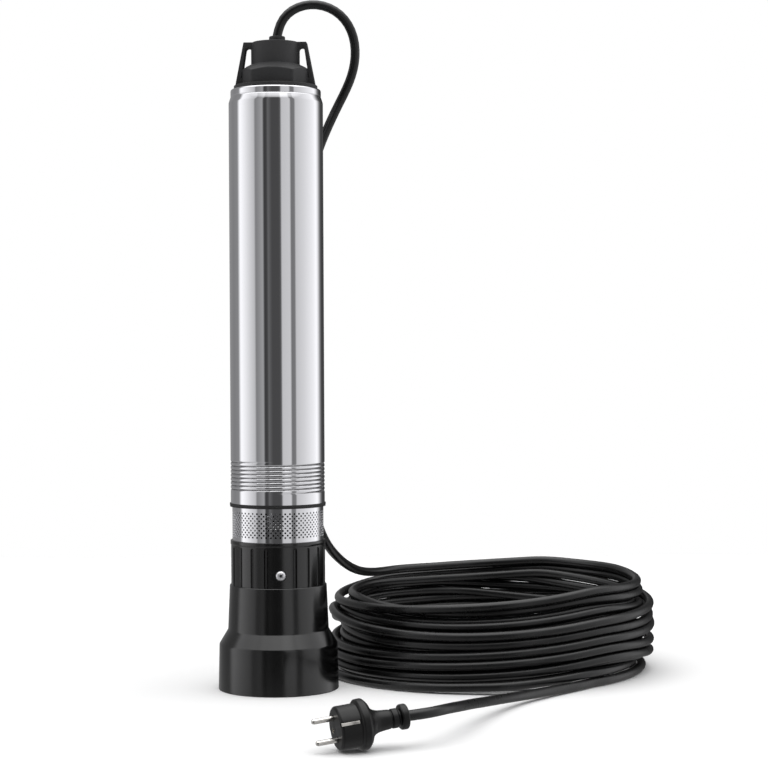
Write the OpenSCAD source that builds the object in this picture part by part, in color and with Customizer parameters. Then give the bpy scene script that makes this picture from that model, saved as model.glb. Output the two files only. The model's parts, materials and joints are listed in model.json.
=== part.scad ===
// Borehole submersible pump with its coiled mains lead.
// Millimetres, +Z up, origin at the centre of the foot's underside, the front looks along -Y.
// Water enters through the strainer, climbs five impeller stages, passes round the motor can
// and leaves through a spring-loaded check valve in the discharge head.

/* [Foot] */
// Diameter of the foot where it stands
foot_base_d = 127; // [112:1:140]
// Diameter at the top of the base ring
foot_base_top_d = 125; // [110:1:138]
// Height of the base ring
foot_base_h = 46; // [30:1:56]
// Height of the cone above the base ring
foot_cone_h = 15; // [8:1:20]
// Diameter at the neck's rim
foot_top_d = 100; // [99:0.5:104]
// How much wider the neck is at its own foot
foot_taper = 4; // [2:0.5:8]
// Height of the whole foot
foot_h = 108; // [98:1:130]
// Wall of the foot
foot_wall = 3; // [2.5:0.5:4]

/* [Grip collar] */
// Height of the collar between foot and strainer
collar_h = 46; // [40:1:60]
// Diameter of the collar
collar_d = 97; // [95:0.5:98]
// Diameter of the lip at the collar's top
collar_lip_d = 98; // [96:0.5:99]
// Height of the lip
collar_lip_h = 5; // [3:0.5:8]
// Width of a grip flute
flute_w = 2.3; // [1.5:0.1:3]
// Depth of a grip flute
flute_depth = 1.5; // [0.8:0.1:2]
// Height of the lock screws above the foot
lock_screw_h = 13; // [9:1:20]

/* [Strainer] */
// Outer diameter of the strainer sleeve
strainer_d = 94; // [92:0.5:95]
// Height of the strainer sleeve
strainer_h = 34.6; // [28:0.2:50]
// Sheet thickness of the strainer
strainer_t = 0.8; // [0.5:0.1:1.2]
// Diameter of one perforation, drawn larger and fewer than in the real sheet
perf_d = 3; // [2:0.1:3.4]
// Perforations in one row
perf_count = 40; // [30:2:44]
// Distance between rows
perf_pitch = 5; // [4.4:0.1:6]

/* [Tube] */
// Outer diameter of the steel tube
tube_d = 97; // [96.5:0.5:98]
// Sheet thickness of the tube
tube_wall = 0.8; // [0.6:0.1:1]
// Height of the gasket under the tube
gasket_h = 2; // [1.5:0.1:3]
// Pitch of the rolled thread
thread_pitch = 4; // [3.6:0.1:4.4]
// Depth of the rolled thread
thread_depth = 1.2; // [0.8:0.1:1.4]

/* [Hydraulics] */
// Height of one pump stage
stage_pitch = 22; // [20:0.5:26]
// Diameter of an impeller
impeller_d = 75; // [66:1:78]
// Water passage height inside an impeller
passage_h = 4; // [3:0.5:5]
// Width across the flats of the hexagon shaft
hex_af = 13; // [11:0.5:13.5]

/* [Motor] */
// Outer diameter of the motor can
can_d = 80; // [76:0.5:82]
// Wall of the motor can
can_wall = 1.2; // [0.8:0.1:1.6]
// Length of the lamination stack
stator_len = 80; // [60:2:110]
// Diameter of the rotor
rotor_d = 44; // [40:0.5:45]
// Gap between rotor and stator
air_gap = 0.5; // [0.3:0.05:0.8]
// Height of the run capacitor
capacitor_h = 36; // [24:1:60]
// Diameter of the run capacitor
capacitor_d = 38; // [30:1:40]

/* [Discharge head] */
// Outer diameter of the outlet spigot
spigot_d = 49; // [47:0.5:50]
// Height of the spigot's rim above the tube
spigot_h = 48.5; // [46:0.5:60]
// Bore of the outlet, the minor diameter of a G 1 1/4 pipe thread
outlet_d = 39; // [38:0.1:40]
// Length of the outlet bore
outlet_len = 20; // [16:1:22]
// Lift of the check valve
valve_lift = 6; // [3:0.5:7]
// Depth of the rope eyes from front to back
eye_depth = 14; // [10:1:20]

/* [Cable and plug] */
// Diameter of the mains lead
cable_d = 9; // [8:0.1:9.4]
// Outer radius of the coil
coil_r = 178; // [170:1:200]
// Inner radius of the coil
coil_in_r = 148; // [130:1:156]
// Height of the coil
coil_h = 100; // [80:1:104]
// Length of the plug without its pins
plug_len = 66; // [60:1:80]
// Diameter of the plug's front
plug_d = 39; // [37:0.5:40]
// Distance between the two pins
pin_gap = 19; // [19:0.1:19.5]
// Diameter of one pin
pin_d = 4.8; // [4:0.1:5]
// Free length of one pin
pin_len = 20; // [19:0.5:20]

/* [Hidden] */
$fn = 48;
stages = 5;
black = [0.06, 0.06, 0.07];
steel = [0.78, 0.79, 0.8];
rubber = [0.09, 0.09, 0.09];
ivory = [0.86, 0.83, 0.74];
copper = [0.72, 0.4, 0.2];
brass = [0.8, 0.68, 0.4];
iron = [0.35, 0.36, 0.38];
alu = [0.7, 0.71, 0.72];

// Clearances
slip = 0.2;
snug = 0.05;
run = 0.05;
water_gap = 0.4;

// Foot and collar
foot_in_r = foot_top_d / 2 - foot_wall;
ledge_t = 4;
ledge_r = foot_in_r - 9;
spigot_drop = 18;
z_ledge = foot_h - spigot_drop - ledge_t;
collar_plug_r = foot_in_r - slip;
foot_screw_at = ledge_r + 5;
foot_screw_r = 2;
floor_z = 2;
floor_t = 3;
collar_r = collar_d / 2;
collar_floor_t = 4;
collar_in_r = collar_r - 3.5;
z_strainer = foot_h + collar_h;
z_lock = foot_h + lock_screw_h;
lock_az = -84;
lock_r = 2.4;
lock_head_r = 5;
lock_seat_r = collar_r - 0.4;
flutes = 20;
flute_top = z_strainer - collar_lip_h - 1.5;

// Intake and strainer
strainer_r = strainer_d / 2;
strainer_in_r = strainer_r - strainer_t;
z_flange = z_strainer + strainer_h;
flange_t = 1.4;
z_gasket = z_flange + flange_t;
z_tube = z_gasket + gasket_h;
intake_r = collar_in_r - slip;
cage_r = strainer_in_r - slip;
intake_in_r = intake_r - 5;
gasket_r = tube_d / 2 + 1;
perf_rows = floor((strainer_h - 6) / perf_pitch);
perf_z0 = z_strainer + (strainer_h - (perf_rows - 1) * perf_pitch) / 2;

// Tube and its rolled thread
tube_r = tube_d / 2;
tube_in_r = tube_r - tube_wall;
turns = 8;
roll_r = 1.6;
roll_at = tube_r + roll_r - thread_depth;
z_roll = z_tube + 13.5;
neck_gap = 0.3;
neck_r = tube_in_r - water_gap;
neck_h = 16 + turns * thread_pitch;
z_stage = z_tube + neck_h;
neck_in_r = neck_r - 5.5;

// Shaft
journal_r = 5;
bush_r = 8.5;
bush_len = 22;
z_bush = z_tube + 8;
hub_r = 9;
hub_up = 2;
nut_h = 8;
z_hub = z_stage + hub_up;
seal_shaft_r = 8;
bearing_in_r = 8.5;
core_shaft_r = 10;

// Stages
case_r = neck_r - 0.1;
case_wall = 2.2;
case_in_r = case_r - case_wall;
plate_t = 2;
impeller_r = impeller_d / 2;
eye_r = 12.5;
eye_out_r = 15;
shroud_t = 1.5;
imp_up = plate_t + 1;
imp_top = imp_up + 2 * shroud_t + passage_h;
disc_up = imp_top + 1;
disc_t = 2;
disc_r = case_in_r - 3;
vanes = 7;
vane_arc = 26;
vane_at = 22;
vane_t = 1.6;

// Motor
z_b = z_stage + stages * stage_pitch;
can_r = can_d / 2;
can_in_r = can_r - can_wall;
bearing_r = 20;
bearing_w = 12;
ball_r = 3.375;
ball_at = (bearing_r + bearing_in_r) / 2;
race_r = 3.5;
balls = 8;
z_can = z_b + 24;
z_bear1 = z_b + 28;
bracket_top = z_bear1 + bearing_w + 4;
seal_r = 16;
z_seat = z_b + 14;
seat_t = 5;
seat_r = 13.3;
overhang = 18;
z_core = bracket_top + 2 + overhang;
z_core_top = z_core + stator_len;
z_bear2 = z_core_top + overhang + 4;
z_shelf = z_bear2 + bearing_w + 4;
z_can_top = z_shelf + capacitor_h + 14;
z_lug = z_can_top + 10;
slots = 24;
rotor_r = rotor_d / 2;
stator_in_r = rotor_r + air_gap;
slot_in = stator_in_r + 2;
slot_out = can_in_r - 3.8;
slot_w = 3.2;
bar_r = 2;
bars = 18;
bar_at = rotor_r - 3.5;

// Discharge head
z_top = z_lug + 25;
rim_r = tube_r - 2;
rim_in_r = rim_r - 3.3;
rim_round = 2;
shoulder_low = 13.5;
shoulder_high = 8;
skirt_r = tube_in_r - 0.5;
skirt_in_r = skirt_r - 4.2;
oring_r = 1.3;
z_oring = z_lug + 5.5;
z_roof = z_lug + 18;
flange_r = rim_in_r - slip;
z_block = z_top + 4;
block_h = 15;
block_y = 36;
block_flat = 43.5;
block_x = 36.5;
spigot_r = spigot_d / 2;
z_spigot = z_top + spigot_h;
z_cone = z_block + block_h + 7;
outlet_r = outlet_d / 2;
z_outlet = z_spigot - outlet_len;
chamber_r = outlet_r - 0.7;
z_valve = z_top + 11;
valve_hole_r = 13;
poppet_r = 16;
stem_r = 2.5;
guide_t = 3;
z_guide = z_valve + 8 + valve_lift;
eye_bar = 5.5;
eye_head = 9;
eye_foot = 17;
twist = -3;
gland_y = 33;
gland_r = 8.4;
z_tower = z_top + 43;
z_gland = z_top + 60;

// Cable, in round route points
cable_r = cable_d / 2;
coil_x = 227;
coil_y = 132;
cord_sides = 10;
grommet_r = cable_r + 1.6;
lead_loop = [
    [0, 0, 0], [0, 0, 9], [4.5, 0, 18], [13.5, 0, 26], [25, 0.5, 31.5], [39, 1.5, 33.2],
    [53, 3, 30.5], [65, 5, 23.5], [74, 7, 13], [79.5, 10, -2], [80.5, 12, -14], [79, 14, -29],
    [74.5, 16, -44], [66, 19, -64], [55.3, 21, -85], [46, 22.5, -106]
];
lead_run = [
    [40, 55.5, 556], [35, 55, 536], [32, 54.5, 510], [30, 54, 484], [29, 53.5, 458],
    [28, 53.5, 432], [28, 53.5, 406], [28, 53.5, 380], [28, 53.5, 354], [28, 53.5, 328],
    [28, 53.5, 302], [28, 53.5, 276], [29, 53.5, 250], [30, 53.5, 226], [32, 54, 202],
    [35.5, 55.5, 180]
];
lead_land = [
    [39, 57.5, 65], [43, 61, 52], [47, 67.5, 44], [51, 77.5, 36.5], [56.5, 93, 28.5],
    [63.5, 113, 20], [72, 136, 11], [78, 154, 4]
];
tail_run = [
    [139, -312.8, 28.4], [150, -307.5, 28.8], [160, -300, 29.4], [169, -290, 29.7],
    [178, -278, 29.3], [188, -261, 28.2], [200.5, -235, 25.4], [220, -193, 20.9],
    [237, -157, 17], [256, -119, 13.2], [281, -76, 9.6], [307, -37, 7.1], [335, 3, 5.3],
    [349, 24, 4.8]
];

// Plug
plug_foot = [128.7, -316.5, 27.6];
plug_turn = [0, 96.2, 199.5];
plug_roll = 20;
plug_r = plug_d / 2;
plug_collar_r = plug_r + 3.1;
pin_r = pin_d / 2;
pin_in = 12;
clip_w = 4;
clip_t = 1.2;
clip_len = 17.5;
earth_at = -9;
earth_r = 2.6;

// Shared shapes

// A ring of revolution about Z
module ring(r_in, r_out, z, h) {
    translate([0, 0, z])
        difference() {
            cylinder(r = r_out, h = h);
            translate([0, 0, -1])
                cylinder(r = r_in, h = h + 2);
        }
}

// A block that starts at radius r1 and ends at radius r2
module arm(r1, r2, w, z, h) {
    translate([r1, -w / 2, z])
        cube([r2 - r1, w, h]);
}

// The outline of one curved blade between two radii
module blade(r1, r2) {
    intersection() {
        translate([vane_at, 0])
            difference() {
                circle(r = vane_arc + vane_t / 2);
                circle(r = vane_arc - vane_t / 2);
            }
        difference() {
            circle(r = r2);
            circle(r = r1);
        }
        translate([-r2, 0])
            square([2 * r2, r2]);
    }
}

// A row of blades round the axis
module blades(r1, r2, z, h) {
    translate([0, 0, z])
        for (k = [0:vanes - 1])
            rotate(k * 360 / vanes)
                linear_extrude(h)
                    blade(r1, r2);
}

// A hexagon bar or hexagon bore, given across its flats
module hex(af, z, h) {
    translate([0, 0, z])
        cylinder(d = af / cos(30), h = h, $fn = 6);
}

function unit(v) = v / norm(v);
function along(p, i) = unit(p[min(i + 1, len(p) - 1)] - p[max(i - 1, 0)]);

// A round cord through route points; ref is a direction that the cord never follows
module cord(path, r, sides, ref) {
    n = len(path);
    rings = [
        for (i = [0:n - 1])
            let (t = along(path, i), u = unit(cross(t, ref)), v = cross(t, u))
                for (k = [0:sides - 1])
                    path[i] + r * (cos(k * 360 / sides) * u + sin(k * 360 / sides) * v)
    ];
    faces = concat(
        [[for (k = [0:sides - 1]) k]],
        [for (i = [0:n - 2], k = [0:sides - 1])
            [i * sides + k, (i + 1) * sides + k,
             (i + 1) * sides + (k + 1) % sides, i * sides + (k + 1) % sides]],
        [[for (k = [sides - 1:-1:0]) (n - 1) * sides + k]]
    );
    polyhedron(points = rings, faces = faces, convexity = 8);
}

// A coil spring standing on z, its free height h measured over the wire
module spring(r, wire, z, h, coils) {
    steps = 16 * coils;
    cord(
        [for (i = [0:steps])
            [r * cos(i * 22.5), r * sin(i * 22.5), z + wire / 2 + (h - wire) * i / steps]],
        wire / 2, 6, [0, 0, 1]
    );
}

// Foot, collar and intake

module stand_foot() {
    base_r = foot_base_d / 2;
    base_top_r = foot_base_top_d / 2;
    z_neck = foot_base_h + foot_cone_h;
    color(black)
        difference() {
            rotate_extrude()
                polygon([
                    [base_r - 1, 0], [base_r, 1], [base_top_r, foot_base_h - 1],
                    [base_top_r - 1, foot_base_h], [(foot_top_d + foot_taper) / 2, z_neck],
                    [foot_top_d / 2, foot_h - 1], [foot_top_d / 2 - 1, foot_h],
                    [foot_in_r, foot_h], [foot_in_r, z_ledge + ledge_t],
                    [ledge_r, z_ledge + ledge_t], [ledge_r, z_ledge], [foot_in_r, z_ledge],
                    [foot_in_r, z_neck - 2], [base_top_r - foot_wall, foot_base_h - 3],
                    [base_r - foot_wall, floor_z + floor_t], [0, floor_z + floor_t],
                    [0, floor_z], [base_r - 6, floor_z], [base_r - 6, 0]
                ]);
            for (k = [0:5])
                rotate(30 + 60 * k)
                    translate([36, 0, floor_z - 1])
                        cylinder(r = 5, h = floor_t + 2);
            for (k = [0:3])
                rotate(45 + 90 * k)
                    translate([foot_screw_at, 0, z_ledge - 1])
                        cylinder(r = foot_screw_r + slip, h = ledge_t + 2);
        }
}

module foot_screws() {
    color(steel)
        for (k = [0:3])
            rotate(45 + 90 * k)
                translate([foot_screw_at, 0, z_ledge])
                    difference() {
                        union() {
                            translate([0, 0, -2.6])
                                cylinder(r1 = 3.2, r2 = 4, h = 2.6);
                            translate([0, 0, -0.5])
                                cylinder(r = foot_screw_r, h = ledge_t + 12.5);
                        }
                        translate([-2.2, -0.5, -3])
                            cube([4.4, 1, 1.6]);
                        translate([-0.5, -2.2, -3])
                            cube([1, 4.4, 1.6]);
                    }
}

module grip_collar() {
    z_foot = z_ledge + ledge_t;
    color(black)
        difference() {
            rotate_extrude()
                polygon([
                    [ledge_r + 1, z_foot], [collar_plug_r, z_foot], [collar_plug_r, foot_h],
                    [collar_r, foot_h], [collar_r, z_strainer - collar_lip_h],
                    [collar_lip_d / 2, z_strainer - collar_lip_h + 0.5],
                    [collar_lip_d / 2, z_strainer], [collar_in_r, z_strainer],
                    [collar_in_r, foot_h + collar_floor_t], [0, foot_h + collar_floor_t],
                    [0, foot_h], [ledge_r + 1, foot_h]
                ]);
            for (k = [0:flutes - 1])
                if (k % 10 != 0)
                    rotate(lock_az + k * 360 / flutes)
                        translate([collar_r - flute_depth + flute_w / 2, 0, foot_h - 1])
                            cylinder(d = flute_w, h = flute_top - foot_h + 1);
            for (k = [0:1])
                rotate(lock_az + 180 * k)
                    translate([0, 0, z_lock])
                        rotate([0, 90, 0]) {
                            translate([0, 0, collar_in_r - 1])
                                cylinder(r = lock_r + slip, h = 8);
                            translate([0, 0, lock_seat_r])
                                cylinder(r = lock_head_r + slip, h = 4);
                        }
            for (k = [0:3])
                rotate(45 + 90 * k) {
                    translate([foot_screw_at, 0, z_foot - 1])
                        cylinder(r = foot_screw_r + snug, h = 14);
                    translate([22, 0, foot_h - 1])
                        cylinder(r = 3, h = collar_floor_t + 2);
                }
        }
}

module collar_screws() {
    color(steel)
        for (k = [0:1])
            rotate(lock_az + 180 * k)
                translate([lock_seat_r, 0, z_lock])
                    rotate([0, 90, 0])
                        difference() {
                            rotate_extrude()
                                polygon([
                                    [0, -8], [lock_r - 0.6, -8], [lock_r, -7.2], [lock_r, 0],
                                    [lock_head_r, 0], [lock_head_r, 1.3],
                                    [lock_head_r - 0.9, 2.2], [0, 2.4]
                                ]);
                            for (a = [45, 135])
                                rotate(a)
                                    translate([-2.6, -0.6, 1])
                                        cube([5.2, 1.2, 2]);
                        }
}

module strainer() {
    color(steel)
        difference() {
            ring(strainer_in_r, strainer_r, z_strainer, strainer_h);
            for (j = [0:perf_rows - 1], k = [0:perf_count - 1])
                translate([0, 0, perf_z0 + j * perf_pitch])
                    rotate((k + (j % 2) / 2) * 360 / perf_count)
                        translate([strainer_in_r - 1, 0, 0])
                            rotate([0, 90, 0])
                                cylinder(d = perf_d, h = strainer_t + 2, $fn = 16);
        }
}

module intake_housing() {
    z_low = foot_h + collar_floor_t;
    color(black)
        difference() {
            union() {
                rotate_extrude()
                    difference() {
                        polygon([
                            [intake_in_r, z_low], [intake_r, z_low], [intake_r, z_strainer],
                            [cage_r, z_strainer], [cage_r, z_strainer + 3],
                            [intake_in_r, z_strainer + 3]
                        ]);
                    }
                for (k = [0:7])
                    rotate(22.5 + 45 * k)
                        arm(intake_in_r + 0.8, cage_r - 0.5, 5, z_strainer + 2, strainer_h - 3);
                rotate_extrude()
                    difference() {
                        polygon([
                            [intake_in_r, z_flange - 3], [cage_r, z_flange - 3],
                            [cage_r, z_flange], [gasket_r - 0.2, z_flange],
                            [gasket_r - 0.2, z_gasket], [neck_r - 1, z_gasket],
                            [neck_r - 1, z_tube], [neck_r, z_tube], [neck_r, z_stage],
                            [neck_in_r, z_stage], [neck_in_r, z_gasket],
                            [intake_in_r, z_flange]
                        ]);
                        for (j = [0:turns - 1])
                            translate([roll_at, z_roll + j * thread_pitch])
                                circle(r = roll_r + tube_wall + neck_gap);
                    }
                ring(bush_r, bush_r + 3.5, z_bush, bush_len);
                for (k = [0:3])
                    rotate(45 + 90 * k)
                        arm(bush_r + 2, neck_in_r + 1, 4, z_bush, bush_len);
            }
            for (k = [0:1])
                rotate(lock_az + 180 * k)
                    translate([0, 0, z_lock])
                        rotate([0, 90, 0])
                            translate([0, 0, intake_in_r - 1])
                                cylinder(r = lock_r + snug, h = 8);
        }
}

module tube_gasket() {
    color(rubber)
        rotate_extrude()
            polygon([
                [neck_r - 1 + snug, z_gasket], [gasket_r, z_gasket],
                [gasket_r, z_tube], [neck_r - 1 + snug, z_tube]
            ]);
}

module outer_tube() {
    color(steel)
        rotate_extrude()
            union() {
                difference() {
                    polygon([
                        [tube_in_r - 2, z_tube], [tube_r, z_tube],
                        [tube_r, z_top - shoulder_low], [rim_r, z_top - shoulder_high],
                        [rim_r, z_top - rim_round], [rim_r - rim_round, z_top],
                        [rim_in_r, z_top], [rim_in_r, z_top - tube_wall],
                        [rim_r - tube_wall - 0.6, z_top - tube_wall],
                        [rim_r - tube_wall, z_top - tube_wall - 0.6],
                        [rim_r - tube_wall, z_top - shoulder_high],
                        [tube_in_r, z_top - shoulder_low],
                        [tube_in_r, z_roll + turns * thread_pitch],
                        [tube_in_r - 2, z_roll + turns * thread_pitch]
                    ]);
                    for (j = [0:turns - 1])
                        translate([roll_at, z_roll + j * thread_pitch])
                            circle(r = roll_r);
                    difference() {
                        translate([tube_in_r - 3, z_tube - 1])
                            square([3, z_roll - z_tube + turns * thread_pitch + 2]);
                        for (j = [0:turns - 1])
                            translate([roll_at, z_roll + j * thread_pitch])
                                circle(r = roll_r + tube_wall);
                    }
                }
                translate([rim_r - rim_round, z_top - rim_round])
                    intersection() {
                        difference() {
                            circle(r = rim_round);
                            circle(r = rim_round - tube_wall);
                        }
                        square([rim_round, rim_round]);
                    }
            }
}

module lower_bush() {
    color(ivory)
        ring(journal_r + run, bush_r, z_bush, bush_len);
}

// Hydraulic stages, numbered from the bottom

module stage_casing(i) {
    z = z_stage + (i - 1) * stage_pitch;
    color(ivory)
        rotate_extrude()
            polygon([
                [eye_out_r + water_gap, z], [case_r, z], [case_r, z + stage_pitch],
                [case_in_r, z + stage_pitch], [case_in_r, z + plate_t],
                [eye_out_r + water_gap, z + plate_t]
            ]);
}

module diffuser(i) {
    z = z_stage + (i - 1) * stage_pitch;
    color(ivory) {
        ring(hub_r + water_gap, disc_r, z + disc_up, disc_t);
        difference() {
            blades(hub_r + 8, case_in_r - snug, z + plate_t, stage_pitch - plate_t);
            translate([0, 0, z])
                cylinder(r = disc_r - 0.4, h = disc_up + 0.5);
        }
    }
}

module impeller(i) {
    z = z_stage + (i - 1) * stage_pitch;
    color(black)
        difference() {
            union() {
                translate([0, 0, z + hub_up])
                    cylinder(r = hub_r, h = stage_pitch);
                ring(eye_r, eye_out_r, z + 0.3, imp_up);
                ring(eye_r, impeller_r, z + imp_up, shroud_t);
                translate([0, 0, z + imp_top - shroud_t])
                    cylinder(r = impeller_r, h = shroud_t);
                blades(eye_r + 0.5, impeller_r - 0.3, z + imp_up + shroud_t - 0.2, passage_h + 0.4);
            }
            hex(hex_af + 2 * snug, z, stage_pitch + 4);
        }
}

module shaft() {
    color(steel) {
        rotate_extrude()
            polygon([
                [0, z_bush - 3], [journal_r - 1, z_bush - 3], [journal_r, z_bush - 2],
                [journal_r, z_hub + 1], [0, z_hub + 1]
            ]);
        hex(hex_af, z_hub, stages * stage_pitch + 0.5);
        rotate_extrude()
            polygon([
                [0, z_b + hub_up], [seal_shaft_r, z_b + hub_up], [seal_shaft_r, z_bear1],
                [bearing_in_r, z_bear1], [bearing_in_r, z_bear1 + bearing_w],
                [core_shaft_r, z_bear1 + bearing_w], [core_shaft_r, z_bear2],
                [bearing_in_r, z_bear2], [bearing_in_r, z_bear2 + bearing_w + 0.5],
                [bearing_in_r - 0.5, z_bear2 + bearing_w + 1], [0, z_bear2 + bearing_w + 1]
            ]);
    }
}

module shaft_nut() {
    color(brass)
        difference() {
            hex(17, z_hub - nut_h, nut_h);
            translate([0, 0, z_hub - nut_h - 1])
                cylinder(r = journal_r + snug, h = nut_h + 2);
        }
}

// Shaft seal

module seal_seat() {
    color([0.9, 0.9, 0.88])
        ring(seal_shaft_r + 0.6, seat_r, z_seat, seat_t);
}

module seal_head() {
    color(iron) {
        ring(seal_shaft_r + snug, 12.5, z_seat - 5, 5 - run);
        ring(seal_shaft_r + snug, 12.5, z_b + hub_up, 1.2);
    }
}

module seal_spring() {
    z = z_b + hub_up + 1.2;
    color(steel)
        spring(10.5, 1.2, z, z_seat - 5 - z, 3);
}

// Motor

module motor_bracket() {
    color(iron)
        difference() {
            union() {
                translate([0, 0, z_b])
                    cylinder(r = can_r, h = z_can - z_b);
                translate([0, 0, z_can - 1])
                    cylinder(r = can_in_r - snug, h = bracket_top - z_can + 1);
                ring(case_in_r, case_r, z_b, 10);
                for (k = [0:5])
                    rotate(60 * k)
                        arm(can_r - 2, case_in_r + 0.5, 4, z_b, 10);
            }
            translate([0, 0, z_b - 1])
                cylinder(r = seal_r, h = z_seat - z_b + 1);
            translate([0, 0, z_seat - 0.1])
                cylinder(r = seat_r + snug, h = seat_t + 0.1);
            translate([0, 0, z_b])
                cylinder(r = seal_shaft_r + 1, h = z_bear1 - z_b + 1);
            translate([0, 0, z_bear1])
                cylinder(r = bearing_r + snug, h = bearing_w + 10);
            translate([0, 0, z_bear1 + bearing_w])
                cylinder(r = can_in_r - 4, h = 10);
        }
}

module bearing_outer(z) {
    color(steel)
        translate([0, 0, z])
            rotate_extrude()
                difference() {
                    translate([ball_at + 2.1, 0])
                        square([bearing_r - ball_at - 2.1, bearing_w]);
                    translate([ball_at, bearing_w / 2])
                        circle(r = race_r);
                }
}

module bearing_inner(z) {
    color(steel)
        translate([0, 0, z])
            rotate_extrude()
                difference() {
                    translate([bearing_in_r + 0.02, 0])
                        square([ball_at - 2.1 - bearing_in_r - 0.02, bearing_w]);
                    translate([ball_at, bearing_w / 2])
                        circle(r = race_r);
                }
}

module bearing_balls(z) {
    color(steel)
        translate([0, 0, z + bearing_w / 2]) {
            for (k = [0:balls - 1])
                rotate(k * 360 / balls)
                    translate([ball_at, 0, 0])
                        sphere(r = ball_r);
            difference() {
                ring(ball_at - 1, ball_at + 1, -4.4, 8.8);
                for (k = [0:balls - 1])
                    rotate(k * 360 / balls)
                        translate([ball_at - 2, 0, 0])
                            rotate([0, 90, 0])
                                cylinder(r = ball_r + snug, h = 4);
            }
        }
}

module motor_can() {
    color(steel)
        ring(can_in_r, can_r, z_can, z_can_top - z_can);
}

module stator_core() {
    color(iron)
        translate([0, 0, z_core])
            linear_extrude(stator_len)
                difference() {
                    circle(r = can_in_r - snug);
                    circle(r = stator_in_r);
                    for (k = [0:slots - 1])
                        rotate(k * 360 / slots) {
                            translate([slot_in, -slot_w / 2])
                                square([slot_out - slot_in, slot_w]);
                            translate([stator_in_r - 1, -0.8])
                                square([slot_in - stator_in_r + 1.5, 1.6]);
                        }
                }
}

module windings() {
    color(copper) {
        for (z = [z_core - overhang, z_core_top])
            rotate_extrude()
                polygon([
                    [slot_in + 1.5, z], [slot_out - 1.5, z], [slot_out, z + 2],
                    [slot_out, z + overhang - 2], [slot_out - 1.5, z + overhang],
                    [slot_in + 1.5, z + overhang], [slot_in, z + overhang - 2], [slot_in, z + 2]
                ]);
        for (k = [0:slots - 1])
            rotate(k * 360 / slots)
                arm(slot_in + 1.6, slot_out - 1.6, slot_w - 0.4, z_core - 0.5, stator_len + 1);
    }
}

module rotor_core() {
    color(iron)
        translate([0, 0, z_core])
            linear_extrude(stator_len)
                difference() {
                    circle(r = rotor_r);
                    circle(r = core_shaft_r + 0.02);
                    for (k = [0:bars - 1])
                        rotate(k * 360 / bars)
                            translate([bar_at, 0])
                                circle(r = bar_r + 0.02, $fn = 24);
                }
}

module rotor_cage() {
    color(alu) {
        for (z = [z_core - 6, z_core_top])
            ring(core_shaft_r + 3, rotor_r - 1, z, 6);
        for (k = [0:bars - 1])
            rotate(k * 360 / bars)
                translate([bar_at, 0, z_core - 1])
                    cylinder(r = bar_r, h = stator_len + 2, $fn = 24);
    }
}

module upper_bracket() {
    rim = can_in_r - snug;
    color(iron)
        difference() {
            rotate_extrude()
                polygon([
                    [bearing_r + snug, z_bear2], [bearing_r + 4, z_bear2],
                    [bearing_r + 4, z_shelf - 4], [rim - 3.2, z_shelf - 4], [rim - 3.2, z_bear2],
                    [rim, z_bear2], [rim, z_shelf], [0, z_shelf], [0, z_shelf - 2],
                    [bearing_in_r + 1.5, z_shelf - 2], [bearing_in_r + 1.5, z_shelf - 4],
                    [bearing_r + snug, z_shelf - 4]
                ]);
            translate([0, gland_y - 1, z_bear2 - 1])
                cylinder(r = 5, h = z_shelf - z_bear2 + 2);
        }
}

module capacitor() {
    r = capacitor_d / 2;
    color(alu)
        translate([0, -can_in_r + r + 8, z_shelf]) {
            rotate_extrude()
                polygon([
                    [0, 0], [r - 1, 0], [r, 1], [r, capacitor_h - 3], [r - 0.8, capacitor_h - 2],
                    [r - 0.8, capacitor_h], [r - 2, capacitor_h], [r - 2, capacitor_h - 1],
                    [0, capacitor_h - 1]
                ]);
            for (x = [-6, 6])
                translate([x - 3, -0.4, capacitor_h - 1.5])
                    cube([6, 0.8, 8]);
        }
}

module motor_cover() {
    color(black)
        difference() {
            union() {
                rotate_extrude()
                    polygon([
                        [0, z_can_top - 2], [can_in_r - 5, z_can_top - 2],
                        [can_in_r - 5, z_can_top - 8], [can_in_r - snug, z_can_top - 8],
                        [can_in_r - snug, z_can_top], [can_r, z_can_top],
                        [can_r, z_can_top + 4], [0, z_can_top + 4]
                    ]);
                for (k = [0:3])
                    rotate(45 + 90 * k) {
                        arm(can_r - 5, skirt_r, 9, z_can_top + 1, z_lug - z_can_top - 1);
                    }
            }
            translate([0, gland_y, z_can_top - 9])
                cylinder(r = cable_r + 0.3, h = 20);
            translate([0, gland_y, z_can_top])
                cylinder(r = grommet_r, h = 20);
        }
}

module cover_grommet() {
    color(rubber)
        translate([0, gland_y, 0])
            rotate_extrude()
                polygon([
                    [cable_r + 0.02, z_can_top], [grommet_r - snug, z_can_top],
                    [grommet_r - snug, z_can_top + 4], [grommet_r + 1.2, z_can_top + 4],
                    [grommet_r + 1.2, z_can_top + 5.5], [cable_r + 1, z_can_top + 8],
                    [cable_r + 0.02, z_can_top + 8]
                ]);
}

module motor_leads() {
    color(brass)
        for (p = [[-2.7, -0.5], [0, -2.7], [2.7, -0.5]])
            translate([p[0], gland_y + p[1], z_core_top + overhang])
                cylinder(r = 1.4, h = z_can_top - 10 - z_core_top - overhang);
}

module inner_cable() {
    color(rubber)
        translate([0, gland_y, z_can_top - 10])
            cylinder(r = cable_r, h = z_gland - z_can_top + 10);
}

// Discharge head

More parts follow.
